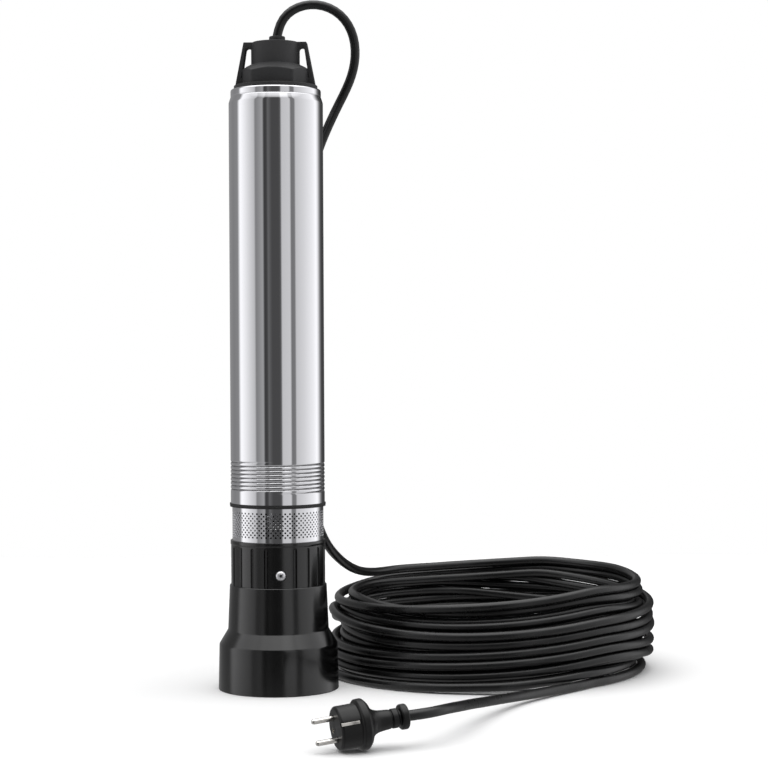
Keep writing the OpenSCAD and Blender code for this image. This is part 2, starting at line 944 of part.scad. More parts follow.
module rope_eye() {
    lean = (z_spigot - z_top - 2) / (eye_foot - eye_head);
    rotate([90, 0, 0])
        linear_extrude(eye_depth, center = true)
            difference() {
                polygon([
                    [spigot_r - 4, z_spigot], [spigot_r + eye_head, z_spigot],
                    [spigot_r + eye_foot, z_top + 2], [spigot_r - 4, z_top + 2]
                ]);
                translate([spigot_r + 3, z_spigot - eye_bar - 3])
                    circle(r = 3);
                polygon([
                    [spigot_r, z_spigot - eye_bar - 3], [spigot_r + 6, z_spigot - eye_bar - 3],
                    [spigot_r + 6 + 24 / lean, z_block + 8], [spigot_r, z_block + 8]
                ]);
            }
}

module discharge_head() {
    color(black)
        difference() {
            union() {
                rotate_extrude()
                    polygon([
                        [0, z_roof], [skirt_in_r, z_roof], [skirt_in_r, z_lug], [skirt_r, z_lug],
                        [skirt_r, z_oring - 1.6], [skirt_r - 2.2, z_oring - 1.6],
                        [skirt_r - 2.2, z_oring + 1.6], [skirt_r, z_oring + 1.6],
                        [skirt_r, z_top - shoulder_low - 0.5],
                        [rim_r - tube_wall - 0.5, z_top - shoulder_high - 0.4],
                        [rim_r - tube_wall - 0.5, z_top - tube_wall - 0.6],
                        [rim_r - rim_round - 0.1, z_top - tube_wall], [flange_r, z_top - tube_wall],
                        [flange_r, z_block - 0.8], [flange_r - 0.8, z_block], [0, z_block]
                    ]);
                rotate(twist)
                    intersection() {
                        translate([0, 0, z_block - 1])
                            linear_extrude(30)
                                polygon([
                                    [-block_flat / 2, -block_y], [block_flat / 2, -block_y],
                                    [block_x, 0], [block_flat / 2, block_y],
                                    [-block_flat / 2, block_y], [-block_x, 0]
                                ]);
                        rotate_extrude()
                            polygon([
                                [0, z_block - 1], [60, z_block - 1],
                                [60, z_cone - (60 - spigot_r) / 2], [spigot_r - 1, z_cone + 0.5],
                                [0, z_cone + 0.5]
                            ]);
                    }
                translate([0, 0, z_block - 1])
                    cylinder(r = spigot_r, h = z_spigot - z_block + 1);
                rotate(twist)
                    for (a = [0, 180])
                        rotate(a)
                            rope_eye();
                translate([0, gland_y, z_block - 3])
                    cylinder(r = gland_r, h = z_tower - z_block + 3);
                translate([-4, outlet_r + 2, z_block])
                    cube([8, gland_y - outlet_r - 2, z_tower - z_block - 5]);
            }
            translate([0, 0, z_outlet])
                cylinder(r = outlet_r, h = outlet_len + 1);
            translate([0, 0, z_valve])
                cylinder(r = chamber_r, h = z_outlet - z_valve + 0.5);
            translate([0, 0, z_valve - 6.5])
                cylinder(r = valve_hole_r, h = 8);
            translate([0, 0, z_roof - 1])
                cylinder(r1 = valve_hole_r + 9, r2 = valve_hole_r, h = z_valve - 6 - z_roof + 1);
            translate([0, gland_y, z_roof - 1])
                cylinder(r = cable_r + slip, h = z_tower - z_roof + 2);
            translate([0, gland_y, z_tower - 10])
                cylinder(r = cable_r + 2, h = 11);
        }
}

module head_oring() {
    color(rubber)
        rotate_extrude()
            translate([skirt_r - 2.2 + oring_r + snug, z_oring])
                circle(r = oring_r, $fn = 24);
}

module valve_poppet() {
    color(brass)
        rotate_extrude()
            polygon([
                [0, z_valve - 3], [valve_hole_r - 3, z_valve - 3], [valve_hole_r - 1, z_valve + run],
                [poppet_r, z_valve + run], [poppet_r, z_valve + 2.5], [poppet_r - 1.5, z_valve + 4],
                [stem_r, z_valve + 4], [stem_r, z_outlet - 0.6], [stem_r - 0.5, z_outlet - 0.1],
                [0, z_outlet - 0.1]
            ]);
}

module valve_spring() {
    color(steel)
        spring(5.2, 0.8, z_valve + 4, z_guide - z_valve - 4, 4);
}

module valve_guide() {
    color(ivory) {
        ring(chamber_r - 2.3, chamber_r - 0.02, z_guide, guide_t);
        ring(stem_r + run, stem_r + 4, z_guide, guide_t);
        for (k = [0:2])
            rotate(30 + 120 * k)
                arm(stem_r + 3, chamber_r - 2, 2.4, z_guide, guide_t);
    }
}

module gland_nut() {
    color(black)
        translate([0, gland_y, 0])
            difference() {
                union() {
                    hex(2 * gland_r * cos(30), z_tower, z_gland - z_tower - 4);
                    translate([0, 0, z_gland - 5])
                        cylinder(r = gland_r, h = 5);
                }
                translate([0, 0, z_tower - 1])
                    cylinder(r = cable_r + 0.7, h = z_gland - z_tower + 2);
            }
}

module gland_grommet() {
    color(rubber)
        translate([0, gland_y, 0])
            ring(cable_r + 0.02, cable_r + 2 - snug, z_tower - 10, 10);
}

// Mains lead and plug

module cable_lead() {
    path = concat(
        [for (p = lead_loop) p + [0, gland_y, z_gland]],
        lead_run,
        [for (p = lead_land) p + [0, 0, coil_h]]
    );
    color(rubber)
        cord(path, cable_r, cord_sides, [1, -1, 0]);
}

module cable_coil() {
    color(rubber)
        translate([coil_x, coil_y, 0])
            rotate_extrude()
                polygon([
                    [coil_in_r + 4, 0], [coil_r - 4, 0], [coil_r, 4], [coil_r, coil_h - 4],
                    [coil_r - 4, coil_h], [coil_in_r + 4, coil_h], [coil_in_r, coil_h - 4],
                    [coil_in_r, 4]
                ]);
}

module cable_tail() {
    color(rubber)
        cord(concat([plug_foot], tail_run), cable_r, cord_sides, [0, 0, 1]);
}

// The plug stands on its strain relief along local +Z; local +X points at the floor
module at_plug() {
    translate(plug_foot)
        rotate(plug_turn)
            rotate(plug_roll)
                children();
}

module plug_body() {
    z_collar = plug_len - 24;
    color(rubber)
        at_plug()
            difference() {
                rotate_extrude()
                    polygon([
                        [0, 0], [10.4, 0], [11.3, 1], [11.3, 5.6], [10.4, 6.8], [8, 7.2], [8, 8.8],
                        [8.7, 9.3], [8.7, 14.4], [8.1, 14.8], [8.1, 15.8], [8.6, 16.2],
                        [9.3, z_collar - 16], [10.6, z_collar - 11.5], [13.4, z_collar - 8],
                        [plug_collar_r - 3, z_collar - 5], [plug_collar_r, z_collar - 2],
                        [plug_collar_r, z_collar + 3.5], [plug_collar_r - 1.6, z_collar + 5],
                        [plug_r, z_collar + 5.4], [plug_r, plug_len - 2],
                        [plug_r - 1.6, plug_len], [0, plug_len]
                    ]);
                for (s = [-1, 1])
                    translate([s * pin_gap / 2, 0, plug_len - pin_in])
                        cylinder(r = pin_r + 0.02, h = pin_in + 1);
                translate([0, earth_at, plug_len - pin_in])
                    cylinder(r = earth_r + 0.02, h = pin_in + 1);
                for (s = [-1, 1])
                    translate([-clip_w / 2 - 1, s * (plug_r - 1.5) - 1.5, plug_len - clip_len - 1])
                        cube([clip_w + 2, 3, clip_len + 2]);
            }
}

module plug_pins() {
    color(brass)
        at_plug()
            for (s = [-1, 1])
                translate([s * pin_gap / 2, 0, plug_len - pin_in])
                    rotate_extrude()
                        polygon([
                            [0, 0], [pin_r, 0], [pin_r, pin_in + pin_len - 1.6],
                            [pin_r - 1.4, pin_in + pin_len], [0, pin_in + pin_len]
                        ]);
}

module plug_earth() {
    color(brass)
        at_plug() {
            for (s = [-1, 1])
                translate([-clip_w / 2, s * (plug_r - 3 + clip_t / 2) - clip_t / 2, plug_len - clip_len])
                    cube([clip_w, clip_t, clip_len - 1]);
            translate([0, earth_at, 0])
                ring(earth_r - 0.6, earth_r, plug_len - pin_in, pin_in - 1);
        }
}

stand_foot();
foot_screws();
grip_collar();
collar_screws();
strainer();
intake_housing();
tube_gasket();
outer_tube();
lower_bush();
for (i = [1:stages]) {
    stage_casing(i);
    diffuser(i);
    impeller(i);
}
shaft();
shaft_nut();
seal_seat();
seal_head();
seal_spring();
motor_bracket();
bearing_outer(z_bear1);  // lower_bearing_outer
bearing_inner(z_bear1);  // lower_bearing_inner
bearing_balls(z_bear1);  // lower_bearing_balls
motor_can();
stator_core();
windings();
rotor_core();
rotor_cage();
upper_bracket();
bearing_outer(z_bear2);  // upper_bearing_outer
bearing_inner(z_bear2);  // upper_bearing_inner
bearing_balls(z_bear2);  // upper_bearing_balls
capacitor();
motor_cover();
cover_grommet();
motor_leads();
inner_cable();
discharge_head();
head_oring();
valve_poppet();
valve_spring();
valve_guide();
gland_nut();
gland_grommet();
cable_lead();
cable_coil();
cable_tail();
plug_body();
plug_pins();
plug_earth();
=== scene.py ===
# %% [markdown]
# # Borehole submersible pump
# This pump hangs in a narrow well and pushes water up a pipe. A motor and five pump stages sit
# in a polished tube, with a strainer and a foot below them, and the outlet head and a long
# mains lead above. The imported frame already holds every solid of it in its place. This script
# dresses the frame: it shapes the shells that the eye sees, lays the lead, and adds finishes,
# light and camera. All this could be modelled by hand, but a script gives the same result on
# every run. The tables are in millimetres, and each piece is made in metres.

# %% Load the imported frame
import json
import math

import bmesh
import bpy
import numpy as np
from mathutils import Matrix, Vector


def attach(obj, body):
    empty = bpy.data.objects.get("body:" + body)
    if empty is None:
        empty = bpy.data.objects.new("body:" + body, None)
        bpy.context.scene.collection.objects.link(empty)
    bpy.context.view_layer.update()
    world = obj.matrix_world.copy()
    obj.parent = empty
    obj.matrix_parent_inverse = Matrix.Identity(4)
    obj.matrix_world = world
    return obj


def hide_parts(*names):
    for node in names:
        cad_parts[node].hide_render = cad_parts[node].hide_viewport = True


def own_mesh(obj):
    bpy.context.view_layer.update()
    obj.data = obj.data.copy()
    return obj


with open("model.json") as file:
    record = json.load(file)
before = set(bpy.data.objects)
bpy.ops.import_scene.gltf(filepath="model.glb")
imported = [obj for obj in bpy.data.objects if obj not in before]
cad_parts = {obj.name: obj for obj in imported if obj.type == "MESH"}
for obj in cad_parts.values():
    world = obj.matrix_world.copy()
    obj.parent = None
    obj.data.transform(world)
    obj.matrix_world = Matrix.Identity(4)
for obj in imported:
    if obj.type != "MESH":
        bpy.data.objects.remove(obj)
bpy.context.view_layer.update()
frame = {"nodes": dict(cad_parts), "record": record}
scene = bpy.context.scene
MM = 0.001
TAU = 2 * math.pi

# %% [markdown]
# ## Camera
# The pump is seen from the front through a long lens, about two metres away and a little above
# the middle of the tube. A camera can be placed by eye in the viewport or by numbers. Numbers
# are used here, because they can be fitted to the edges of the object in small steps.

# %% Camera
TILT_DOWN, ROLL = 1.07, 0.25
lens = bpy.data.cameras.new("camera")
lens.sensor_width = 36
lens.lens = 95.2
camera = bpy.data.objects.new("camera", lens)
camera.location = (0.1104, -2.097, 0.353)
camera.rotation_euler = (math.radians(90 - TILT_DOWN), math.radians(ROLL), 0)
scene.collection.objects.link(camera)
scene.camera = camera
print("camera at", tuple(camera.location))

# %% [markdown]
# ## One recipe for every finish
# Real plastic, rubber and steel are never quite even: the colour drifts, the gloss drifts, and
# there is a fine grain. Painted image maps could show that, but they need unwrapping and files
# on disk. So each finish is one node recipe: a broad noise drifts the colour, a second one
# drifts the gloss and a fine one raises the grain. All of them read the object's own
# coordinates, so nothing slides when the camera moves.


# %% Finish recipe
def finish(name, dark, light, rough, metal=0.0, drift=40, grain=900, relief=0.08, depth=0.00004,
           stretch=(1, 1, 1), **sockets):
    """A material whose colour and gloss drift between two values, with a fine grain"""
    made = bpy.data.materials.new(name)
    made.use_nodes = True
    tree = made.node_tree
    shader = tree.nodes["Principled BSDF"]
    shader.inputs["Metallic"].default_value = metal
    for key, value in sockets.items():
        shader.inputs[key.replace("_", " ")].default_value = value
    place = tree.nodes.new("ShaderNodeTexCoord")
    scale = tree.nodes.new("ShaderNodeMapping")
    scale.inputs["Scale"].default_value = stretch
    tree.links.new(place.outputs["Object"], scale.inputs["Vector"])
    noise = []
    for size, detail in ((drift, 3), (drift * 2.7, 5), (grain, 4)):
        node = tree.nodes.new("ShaderNodeTexNoise")
        node.inputs["Scale"].default_value = size
        node.inputs["Detail"].default_value = detail
        tree.links.new(scale.outputs["Vector"], node.inputs["Vector"])
        noise.append(node)
    ramp = tree.nodes.new("ShaderNodeValToRGB")
    for element, position, colour in zip(ramp.color_ramp.elements, (0.3, 0.7), (dark, light)):
        element.position, element.color = position, (*colour, 1)
    tree.links.new(noise[0].outputs["Fac"], ramp.inputs["Fac"])
    tree.links.new(ramp.outputs["Color"], shader.inputs["Base Color"])
    gloss = tree.nodes.new("ShaderNodeMapRange")
    gloss.inputs["From Min"].default_value, gloss.inputs["From Max"].default_value = 0.3, 0.7
    gloss.inputs["To Min"].default_value, gloss.inputs["To Max"].default_value = rough
    tree.links.new(noise[1].outputs["Fac"], gloss.inputs["Value"])
    tree.links.new(gloss.outputs["Result"], shader.inputs["Roughness"])
    bump = tree.nodes.new("ShaderNodeBump")
    bump.inputs["Strength"].default_value = relief
    bump.inputs["Distance"].default_value = depth
    tree.links.new(noise[2].outputs["Fac"], bump.inputs["Height"])
    tree.links.new(bump.outputs["Normal"], shader.inputs["Normal"])
    return made


def grey(value):
    """A grey with a trace of blue, as black plastics and steels have"""
    return value, value, value * 1.03


print("finish recipe ready")

# %% [markdown]
# ## Finishes of the pump
# Foot and collar are glossy black mouldings and the head is a duller one. Tube and strainer are
# polished stainless steel, with the drift drawn out along the axis as polishing leaves it. The
# pieces inside have plain finishes of their own, but the shaft steel is darker than bare steel:
# painted shade, so the inner steel seen through the strainer's holes stays dark. Each piece could
# make its material where it is built, but one table keeps the values in view, and the imported
# nodes take theirs by slot name.

# %% Table of finishes
looks = {
    "moulded_black": finish("moulded_black", grey(0.0012), grey(0.0022), (0.15, 0.20), grain=1400,
                            relief=0.05, Specular_IOR_Level=0.85),
    "stainless": finish("stainless", grey(0.82), grey(0.87), (0.035, 0.055), 1.0, drift=18, grain=260,
                        relief=0.012, stretch=(1, 1, 0.03)),
    "screw_steel": finish("screw_steel", grey(0.84), grey(0.92), (0.34, 0.44), 1.0, drift=300),
    "seal_rubber": finish("seal_rubber", grey(0.010), grey(0.018), (0.55, 0.7)),
    "stage_plastic": finish("stage_plastic", (0.62, 0.56, 0.42), (0.70, 0.64, 0.50), (0.38, 0.5)),
    "impeller_plastic": finish("impeller_plastic", grey(0.02), grey(0.03), (0.35, 0.45)),
    # shaft_steel is darker than bare steel: painted shade, so the inner steel seen through the strainer's
    # holes stays dark
    "shaft_steel": finish("shaft_steel", grey(0.26), grey(0.34), (0.35, 0.45), 1.0, stretch=(1, 1, 6)),
    "brass": finish("brass", (0.60, 0.42, 0.16), (0.70, 0.52, 0.22), (0.24, 0.36), 1.0),
    "seal_ceramic": finish("seal_ceramic", (0.78, 0.76, 0.70), (0.84, 0.82, 0.77), (0.15, 0.22)),
    "seal_carbon": finish("seal_carbon", grey(0.02), grey(0.035), (0.3, 0.42)),
    "castings": finish("castings", grey(0.30), grey(0.40), (0.45, 0.6), 1.0, relief=0.4, depth=0.0001),
    "bearing_steel": finish("bearing_steel", grey(0.55), grey(0.62), (0.12, 0.2), 1.0),
    "laminations": finish("laminations", grey(0.22), grey(0.30), (0.4, 0.55), 1.0,
                          stretch=(0.05, 0.05, 8)),
    "copper": finish("copper", (0.46, 0.17, 0.07), (0.60, 0.24, 0.10), (0.28, 0.4), 1.0, drift=200),
    "rotor_aluminium": finish("rotor_aluminium", grey(0.50), grey(0.60), (0.35, 0.48), 1.0),
    "wire_insulation": finish("wire_insulation", (0.10, 0.16, 0.30), (0.13, 0.20, 0.36), (0.4, 0.5)),
    "cable_rubber": finish("cable_rubber", grey(0.004), grey(0.007), (0.26, 0.34), drift=60, grain=700,
                           relief=0.12),
    "plug_rubber": finish("plug_rubber", grey(0.002), grey(0.004), (0.32, 0.40), grain=1800,
                          relief=0.15, Specular_IOR_Level=0.35),
    "contact_metal": finish("contact_metal", (0.66, 0.64, 0.60), (0.74, 0.72, 0.69), (0.12, 0.22), 1.0,
                            drift=250),
}
for row in frame["record"]["subparts"]:
    mesh = frame["nodes"][row["node"]].data
    mesh.materials.clear()
    mesh.materials.append(looks[row["material_slot"]])
matt = finish("moulded_matt", grey(0.036), grey(0.044), (0.48, 0.56), grain=1400, relief=0.12,
              Specular_IOR_Level=0.2)
frame["nodes"]["intake_housing"].data.materials[0] = looks["seal_rubber"]
print(len(looks), "finishes in the table")

# %% [markdown]
# ## Mains lead, the free stretches
# The lead is one piece of black rubber cable, 9.6 mm thick. It leaves the gland behind the
# outlet, makes a loop, comes down behind the tube and lands on the coil. From under the coil a
# tail runs out to the plug. A physics run could drop the cable, but it wouldn't fall into this
# very loop, so both free stretches are tables of points that a smooth curve will pass.

# %% Loop, drop and tail
CABLE = 9.6
lead = [
    (0, 33, 677), (-0.1, 33, 686.5), (3.6, 33, 695.8), (12.6, 33, 704.3), (24.5, 33.5, 710.3),
    (38.9, 34.5, 712.2), (53.6, 36, 709.5), (66.3, 38, 702.2), (75.7, 40, 691.2), (81.5, 43, 675.4),
    (82.6, 45, 662.8), (80.9, 47, 647.2), (76.2, 49, 632), (66, 52, 613), (55.3, 54, 592),
    (46, 55.5, 571), (40, 55.5, 556), (35, 55, 536), (32, 54.5, 510), (30, 54, 484), (29, 53.5, 458),
    (28, 53.5, 432), (28, 53.5, 406), (28, 53.5, 380), (28, 53.5, 354), (28, 53.5, 328),
    (28, 53.5, 302), (28, 53.5, 276), (29, 53.5, 250), (30, 53.5, 226), (32, 54, 202),
    (35.5, 55.5, 180), (39, 57.5, 165), (43, 62, 153), (46.5, 69.5, 144.5), (51, 80, 136),
    (57, 96, 127), (64, 116, 118), (72.5, 142, 109), (82.5, 172, 101.5), (94, 202, 96.8),
    (108, 229, 94.8), (126, 251, 95),
]
tail = [
    (310, -25, 5.2), (284.7, -53, 5.8), (261, -82, 6.8), (242.4, -107.5, 8.5), (225, -138.5, 11.5),
    (204, -184.5, 16.5), (190.4, -223, 21.5), (179.2, -256, 25.4), (168.8, -280, 28), (159, -298, 29.2),
    (149.5, -308, 28.9), (139, -313, 28.4), (128.7, -316.5, 27.6),
]
print(len(lead), "points down to the coil,", len(tail), "points out to the plug")

# %% [markdown]
# ## Mains lead, the coil from above
# A hand lays the coil from the plug's end upwards, and each turn wanders in and out. A helix
# from a formula would look wound by a machine. So each turn keeps to one of three columns for a
# while and then moves to another, as a seeded draw decides, and a blend rounds the changes. The
# lowest turn and the top one are seen whole, so they have tables of azimuth and radius.

# %% Turns of the coil in plan
COIL_TURNS, STEP = 17, 3
AZIMUTH_LOW, AZIMUTH_TOP = -60, 118
COLUMN_RADII = (153, 162.8, 172.6)
INNERMOST = 152.6
lowest_turn = np.array([
    (-60, 176), (-45, 167), (-30, 161), (-7, 166), (40, 166), (90, 166), (140, 169), (175, 175),
    (200, 183), (225, 187), (250, 186), (272, 181), (300, 170), (330, 164),
])
top_turn = np.array([
    (-270, 166), (-225, 168), (-180, 168), (-135, 163), (-90, 158), (0, 158), (45, 158), (90, 157),
    (180, 156),
])
move_cost = np.array([3, 0, 2.2])  # for staying, and for moving by one column or by two
rng = np.random.default_rng(254)
azimuth = np.arange(AZIMUTH_LOW, AZIMUTH_TOP + 360 * COIL_TURNS, STEP)
turn = (azimuth - azimuth[0]) / 360
radius = np.zeros(len(azimuth))
used, column, start = np.zeros(3), 2, 0.0
while start < turn[-1] + 1:
    hold = rng.uniform(0.45, 1.15)
    move = np.abs(np.arange(3) - column)
    column = int(np.argmin(used + move_cost[move] + rng.uniform(0, 0.9, 3)))
    used[column] += hold
    radius[(turn >= start) & (turn < start + hold)] = COLUMN_RADII[column]
    start += hold
radius = np.where(azimuth < lowest_turn[-1, 0], np.interp(azimuth, *lowest_turn.T), radius)
ahead = azimuth - 360 * COIL_TURNS
radius = np.where(ahead > top_turn[0, 0], np.interp(ahead, *top_turn.T), radius)
blend = np.hanning(27)
radius = np.convolve(np.pad(radius, len(blend) // 2, mode="edge"), blend / blend.sum(), "valid")
for size, rate, phase in zip((1.0, 0.8, 0.6), (0.37, 0.61, 1.13), rng.uniform(0, 6.3, 3)):
    radius += size * np.sin(rate * np.radians(azimuth) + phase)
BULGE, BULGE_AT = 9, 235  # the low turns lie further out at the front left
bulge = np.clip(np.cos(np.radians(azimuth - BULGE_AT)), 0, 1) ** 2 * np.exp(-turn / 2.2)
radius = np.clip(radius + BULGE * bulge * (turn > 0.9), INNERMOST, None)
print(f"{turn[-1]:.1f} turns, {2 * radius.min():.0f} to {2 * radius.max():.0f} mm wide")

# %% [markdown]
# ## Mains lead, the coil settles
# Each turn rests on the turns that lie under it, and the stiff cable bridges short dips. Rigid
# bodies could settle it, but hundreds of links take long and never lie quite still. Here every
# point may only sink to where it touches an older turn, and is averaged with its neighbours,
# again and again, until the heap is at rest.

# %% Heights of the coil
COIL_X, COIL_Y, LANDING_Z = 227, 132, 92
FLOOR_GAP, CABLE_GAP, SINK = 0.1, 0.15, 0.004
REAR_RISE = 0.03  # the rear of the heap stands this much higher
per_turn = 360 // STEP
lifts = []
for n in range(per_turn, len(azimuth), per_turn):
    apart = radius[n:] - radius[:-n]
    lifts.append((n, np.sqrt(np.clip((CABLE + CABLE_GAP) ** 2 - apart ** 2, 0, None))))
height = np.full(len(azimuth), CABLE / 2)
for k in range(400):
    support = np.full(len(azimuth), CABLE / 2 + FLOOR_GAP)
    for n, lift in lifts:
        support[n:] = np.maximum(support[n:], np.where(lift > 0, height[:-n] + lift, 0))
    near = np.pad(height, 1, mode="edge")
    height = np.maximum(support, 0.5 * height + 0.25 * (near[:-2] + near[2:]) - SINK)
    height[-1] = LANDING_Z
height *= 1 + REAR_RISE * np.clip(np.sin(np.radians(azimuth)), 0, 1) ** 2
coil = np.stack([
    COIL_X + radius * np.cos(np.radians(azimuth)), COIL_Y + radius * np.sin(np.radians(azimuth)), height,
], 1)
print(f"coil {height.max() + CABLE / 2:.0f} mm high")

# %% [markdown]
# ## Mains lead, one curve
# The loop, the coil and the tail join into one line. It could be swept by a node group, but a
# curve with a round bevel keeps its thickness in every bend and is what the frame expects of a
# cord. The line is resampled at an even step first, and eased where the free lead has corners.


# %% Lead as a curve
def spline(points, step):
    """A smooth curve through points, resampled at an even step"""
    p = np.asarray(points, float)
    q = np.vstack([2 * p[0] - p[1], p, 2 * p[-1] - p[-2]])
    out = []
    for a, b, c, d in zip(q[:-3], q[1:-2], q[2:-1], q[3:]):
        for t in np.arange(0, 1, 0.1):
            out.append(0.5 * (2 * b + (c - a) * t + (2 * a - 5 * b + 4 * c - d) * t * t
                              + (3 * b - a - 3 * c + d) * t ** 3))
    out = np.array(out + [p[-1]])
    run = np.concatenate([[0], np.cumsum(np.linalg.norm(np.diff(out, axis=0), axis=1))])
    even = np.linspace(0, run[-1], int(run[-1] / step) + 1)
    return np.stack([np.interp(even, run, out[:, k]) for k in range(3)], 1)


def dress(obj, look, slot, *nodes, body="pump"):
    """Give a piece its finish, its body and the CAD nodes it stands for"""
    obj.data.materials.clear()
    obj.data.materials.append(look)
    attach(obj, body)
    if nodes:
        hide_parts(*nodes)
    size = f"{len(obj.data.polygons)} faces" if obj.type == "MESH" else "a curve"
    print(f"{obj.name}: {size}, for {', '.join(nodes) or 'no node'}")
    return obj


FREE_POINTS = 170  # the lead down to the coil, which is eased more often than the rest
route = spline(np.vstack([lead, coil[::-1][1:-1], tail]), 7.0)
inner = np.arange(1, len(route) - 1)
for k in range(7):
    mean = 0.5 * route[1:-1] + 0.25 * (route[:-2] + route[2:])
    still = (inner > FREE_POINTS) & (k > 2)
    route[1:-1] = np.where(still[:, None], route[1:-1], mean)
curve = bpy.data.curves.new("mains_lead", "CURVE")
curve.dimensions = "3D"
curve.bevel_depth = CABLE / 2 * MM
curve.bevel_resolution = 6
curve.use_fill_caps = True
path = curve.splines.new("POLY")
path.points.add(len(route) - 1)
path.points.foreach_set("co", np.column_stack([route * MM, np.ones(len(route))]).ravel())
path.use_smooth = True
cord = bpy.data.objects.new("mains_lead", curve)
scene.collection.objects.link(cord)
dress(cord, looks["cable_rubber"], "cable_rubber", "cable_lead", "cable_coil", "cable_tail")

# %% [markdown]
# ## Helpers for node groups
# What repeats on this pump, the lock screws and the strainer's holes, comes from geometry node
# groups. A group could be drawn in the editor, but built in a script it stays readable and its
# sizes are named inputs. `add` sets a node and its links in one line, `calc` is the same for
# arithmetic, and `run_group` runs a group and keeps what it made as a plain mesh.


# %% Node helpers
def tidy(mesh, sharp=32):
    """Merge doubles, point the faces outward and shade smooth up to a sharp angle"""
    bm = bmesh.new()
    bm.from_mesh(mesh)
    bmesh.ops.remove_doubles(bm, verts=bm.verts, dist=1e-6)
    bmesh.ops.dissolve_degenerate(bm, dist=1e-7, edges=bm.edges)
    bmesh.ops.recalc_face_normals(bm, faces=bm.faces)
    bm.to_mesh(mesh)
    bm.free()
    mesh.shade_smooth()
    mesh.set_sharp_from_angle(angle=math.radians(sharp))


def apply(obj):
    """Turn the modifiers' result into a plain mesh"""
    graph = bpy.context.evaluated_depsgraph_get()
    made = bpy.data.meshes.new_from_object(obj.evaluated_get(graph))
    obj.modifiers.clear()
    obj.data = made


def node_group(name, inputs):
    """A new geometry node group with its named inputs"""
    group = bpy.data.node_groups.new(name, "GeometryNodeTree")
    group.interface.new_socket("Geometry", in_out="OUTPUT", socket_type="NodeSocketGeometry")
    for label, kind in inputs:
        group.interface.new_socket(label, in_out="INPUT", socket_type="NodeSocket" + kind)
    return group, group.nodes.new("NodeGroupInput").outputs, group.nodes.new("NodeGroupOutput")


def add(group, kind, links=None, **settings):
    """Add a node; links maps its input names to sockets or values"""
    node = group.nodes.new(kind)
    for key, value in settings.items():
        setattr(node, key, value)
    for key, value in (links or {}).items():
        socket = node.inputs[key]
        if isinstance(value, bpy.types.NodeSocket):
            group.links.new(value, socket)
        else:
            socket.default_value = value
    return node


def calc(group, operation, *values):
    """The result of a Math node on sockets or numbers"""
    return add(group, "ShaderNodeMath", dict(enumerate(values)), operation=operation).outputs[0]


def run_group(name, group, values):
    """Run a node group on an empty mesh and keep the result as a plain mesh"""
    obj = bpy.data.objects.new(name, bpy.data.meshes.new(name))
    scene.collection.objects.link(obj)
    made = obj.modifiers.new(name, "NODES")
    made.node_group = group
    for item in group.interface.items_tree:
        if item.in_out == "INPUT" and item.name in values:
            made[item.identifier] = values[item.name]
    apply(obj)
    tidy(obj.data)
    return obj


print("node helpers ready")

# %% [markdown]
# ## Copies in a ring
# Screws round a collar stand on a circle and face outward. A Mesh Circle gives nothing for only
# two points, so the group starts from a line of points, swings each one to its own angle, and
# sets a copy there that is turned by the same angle.

# %% Ring group
ring, given, result = node_group("ring_of_copies", [
    ("Copy", "Object"), ("Count", "Int"), ("Radius", "Float"), ("Height", "Float"),
    ("Start", "Float"), ("Finish", "Material"),
])
points = add(ring, "GeometryNodeMeshLine", {"Count": given["Count"]})
index = add(ring, "GeometryNodeInputIndex")
angle = calc(ring, "MULTIPLY", calc(ring, "DIVIDE", index.outputs[0], given["Count"]), TAU)
spin = add(ring, "ShaderNodeCombineXYZ", {"Z": angle})
arm = add(ring, "ShaderNodeCombineXYZ", {"X": given["Radius"]})
swung = add(ring, "ShaderNodeVectorRotate", {"Vector": arm.outputs[0], "Angle": angle},
            rotation_type="Z_AXIS")
circle = add(ring, "GeometryNodeSetPosition", {
    "Geometry": points.outputs[0], "Position": swung.outputs[0]})
model = add(ring, "GeometryNodeObjectInfo", {"Object": given["Copy"]})
copies = add(ring, "GeometryNodeInstanceOnPoints", {
    "Points": circle.outputs[0], "Instance": model.outputs["Geometry"], "Rotation": spin.outputs[0]})
real = add(ring, "GeometryNodeRealizeInstances", {"Geometry": copies.outputs[0]})
raised = add(ring, "ShaderNodeCombineXYZ", {"Z": given["Height"]})
begin = add(ring, "ShaderNodeCombineXYZ", {"Z": given["Start"]})
turned = add(ring, "GeometryNodeTransform", {
    "Geometry": real.outputs[0], "Translation": raised.outputs[0], "Rotation": begin.outputs[0]})
coat = add(ring, "GeometryNodeSetMaterial", {
    "Geometry": turned.outputs[0], "Material": given["Finish"]})
ring.links.new(coat.outputs[0], result.inputs[0])
print("ring group:", len(ring.nodes), "nodes")

# %% [markdown]
# ## Helpers for turned pieces
# Most of the pump is round, so most shells are outlines turned about the Z axis. The Screw
# modifier could turn them, but a net of points made here can also be pushed in and out point by
# point. A part is a pair of lists, points in millimetres and faces, and `raw` makes one welded
# object of several parts.


# %% Helpers for outlines, nets and cuts
def soft(points, radius, steps=4):
    """Round the corners of a closed outline as far as its edges allow"""
    out = []
    for i, p in enumerate(points):
        p = Vector(p)
        a, b = Vector(points[i - 1]) - p, Vector(points[(i + 1) % len(points)]) - p
        reach = min(radius, 0.45 * a.length, 0.45 * b.length)
        if abs(a.angle(b) - math.pi) < 0.02:
            out.append(tuple(p))
            continue
        s, e = p + a.normalized() * reach, p + b.normalized() * reach
        for k in range(steps + 1):
            t = k / steps
            out.append(tuple(s * (1 - t) ** 2 + p * 2 * t * (1 - t) + e * t * t))
    return out


def polar(r, t, z):
    """The point at a radius, an angle and a height"""
    return r * math.cos(t), r * math.sin(t), z


def around(n):
    """Even angles of a full turn"""
    return [TAU * k / n for k in range(n)]


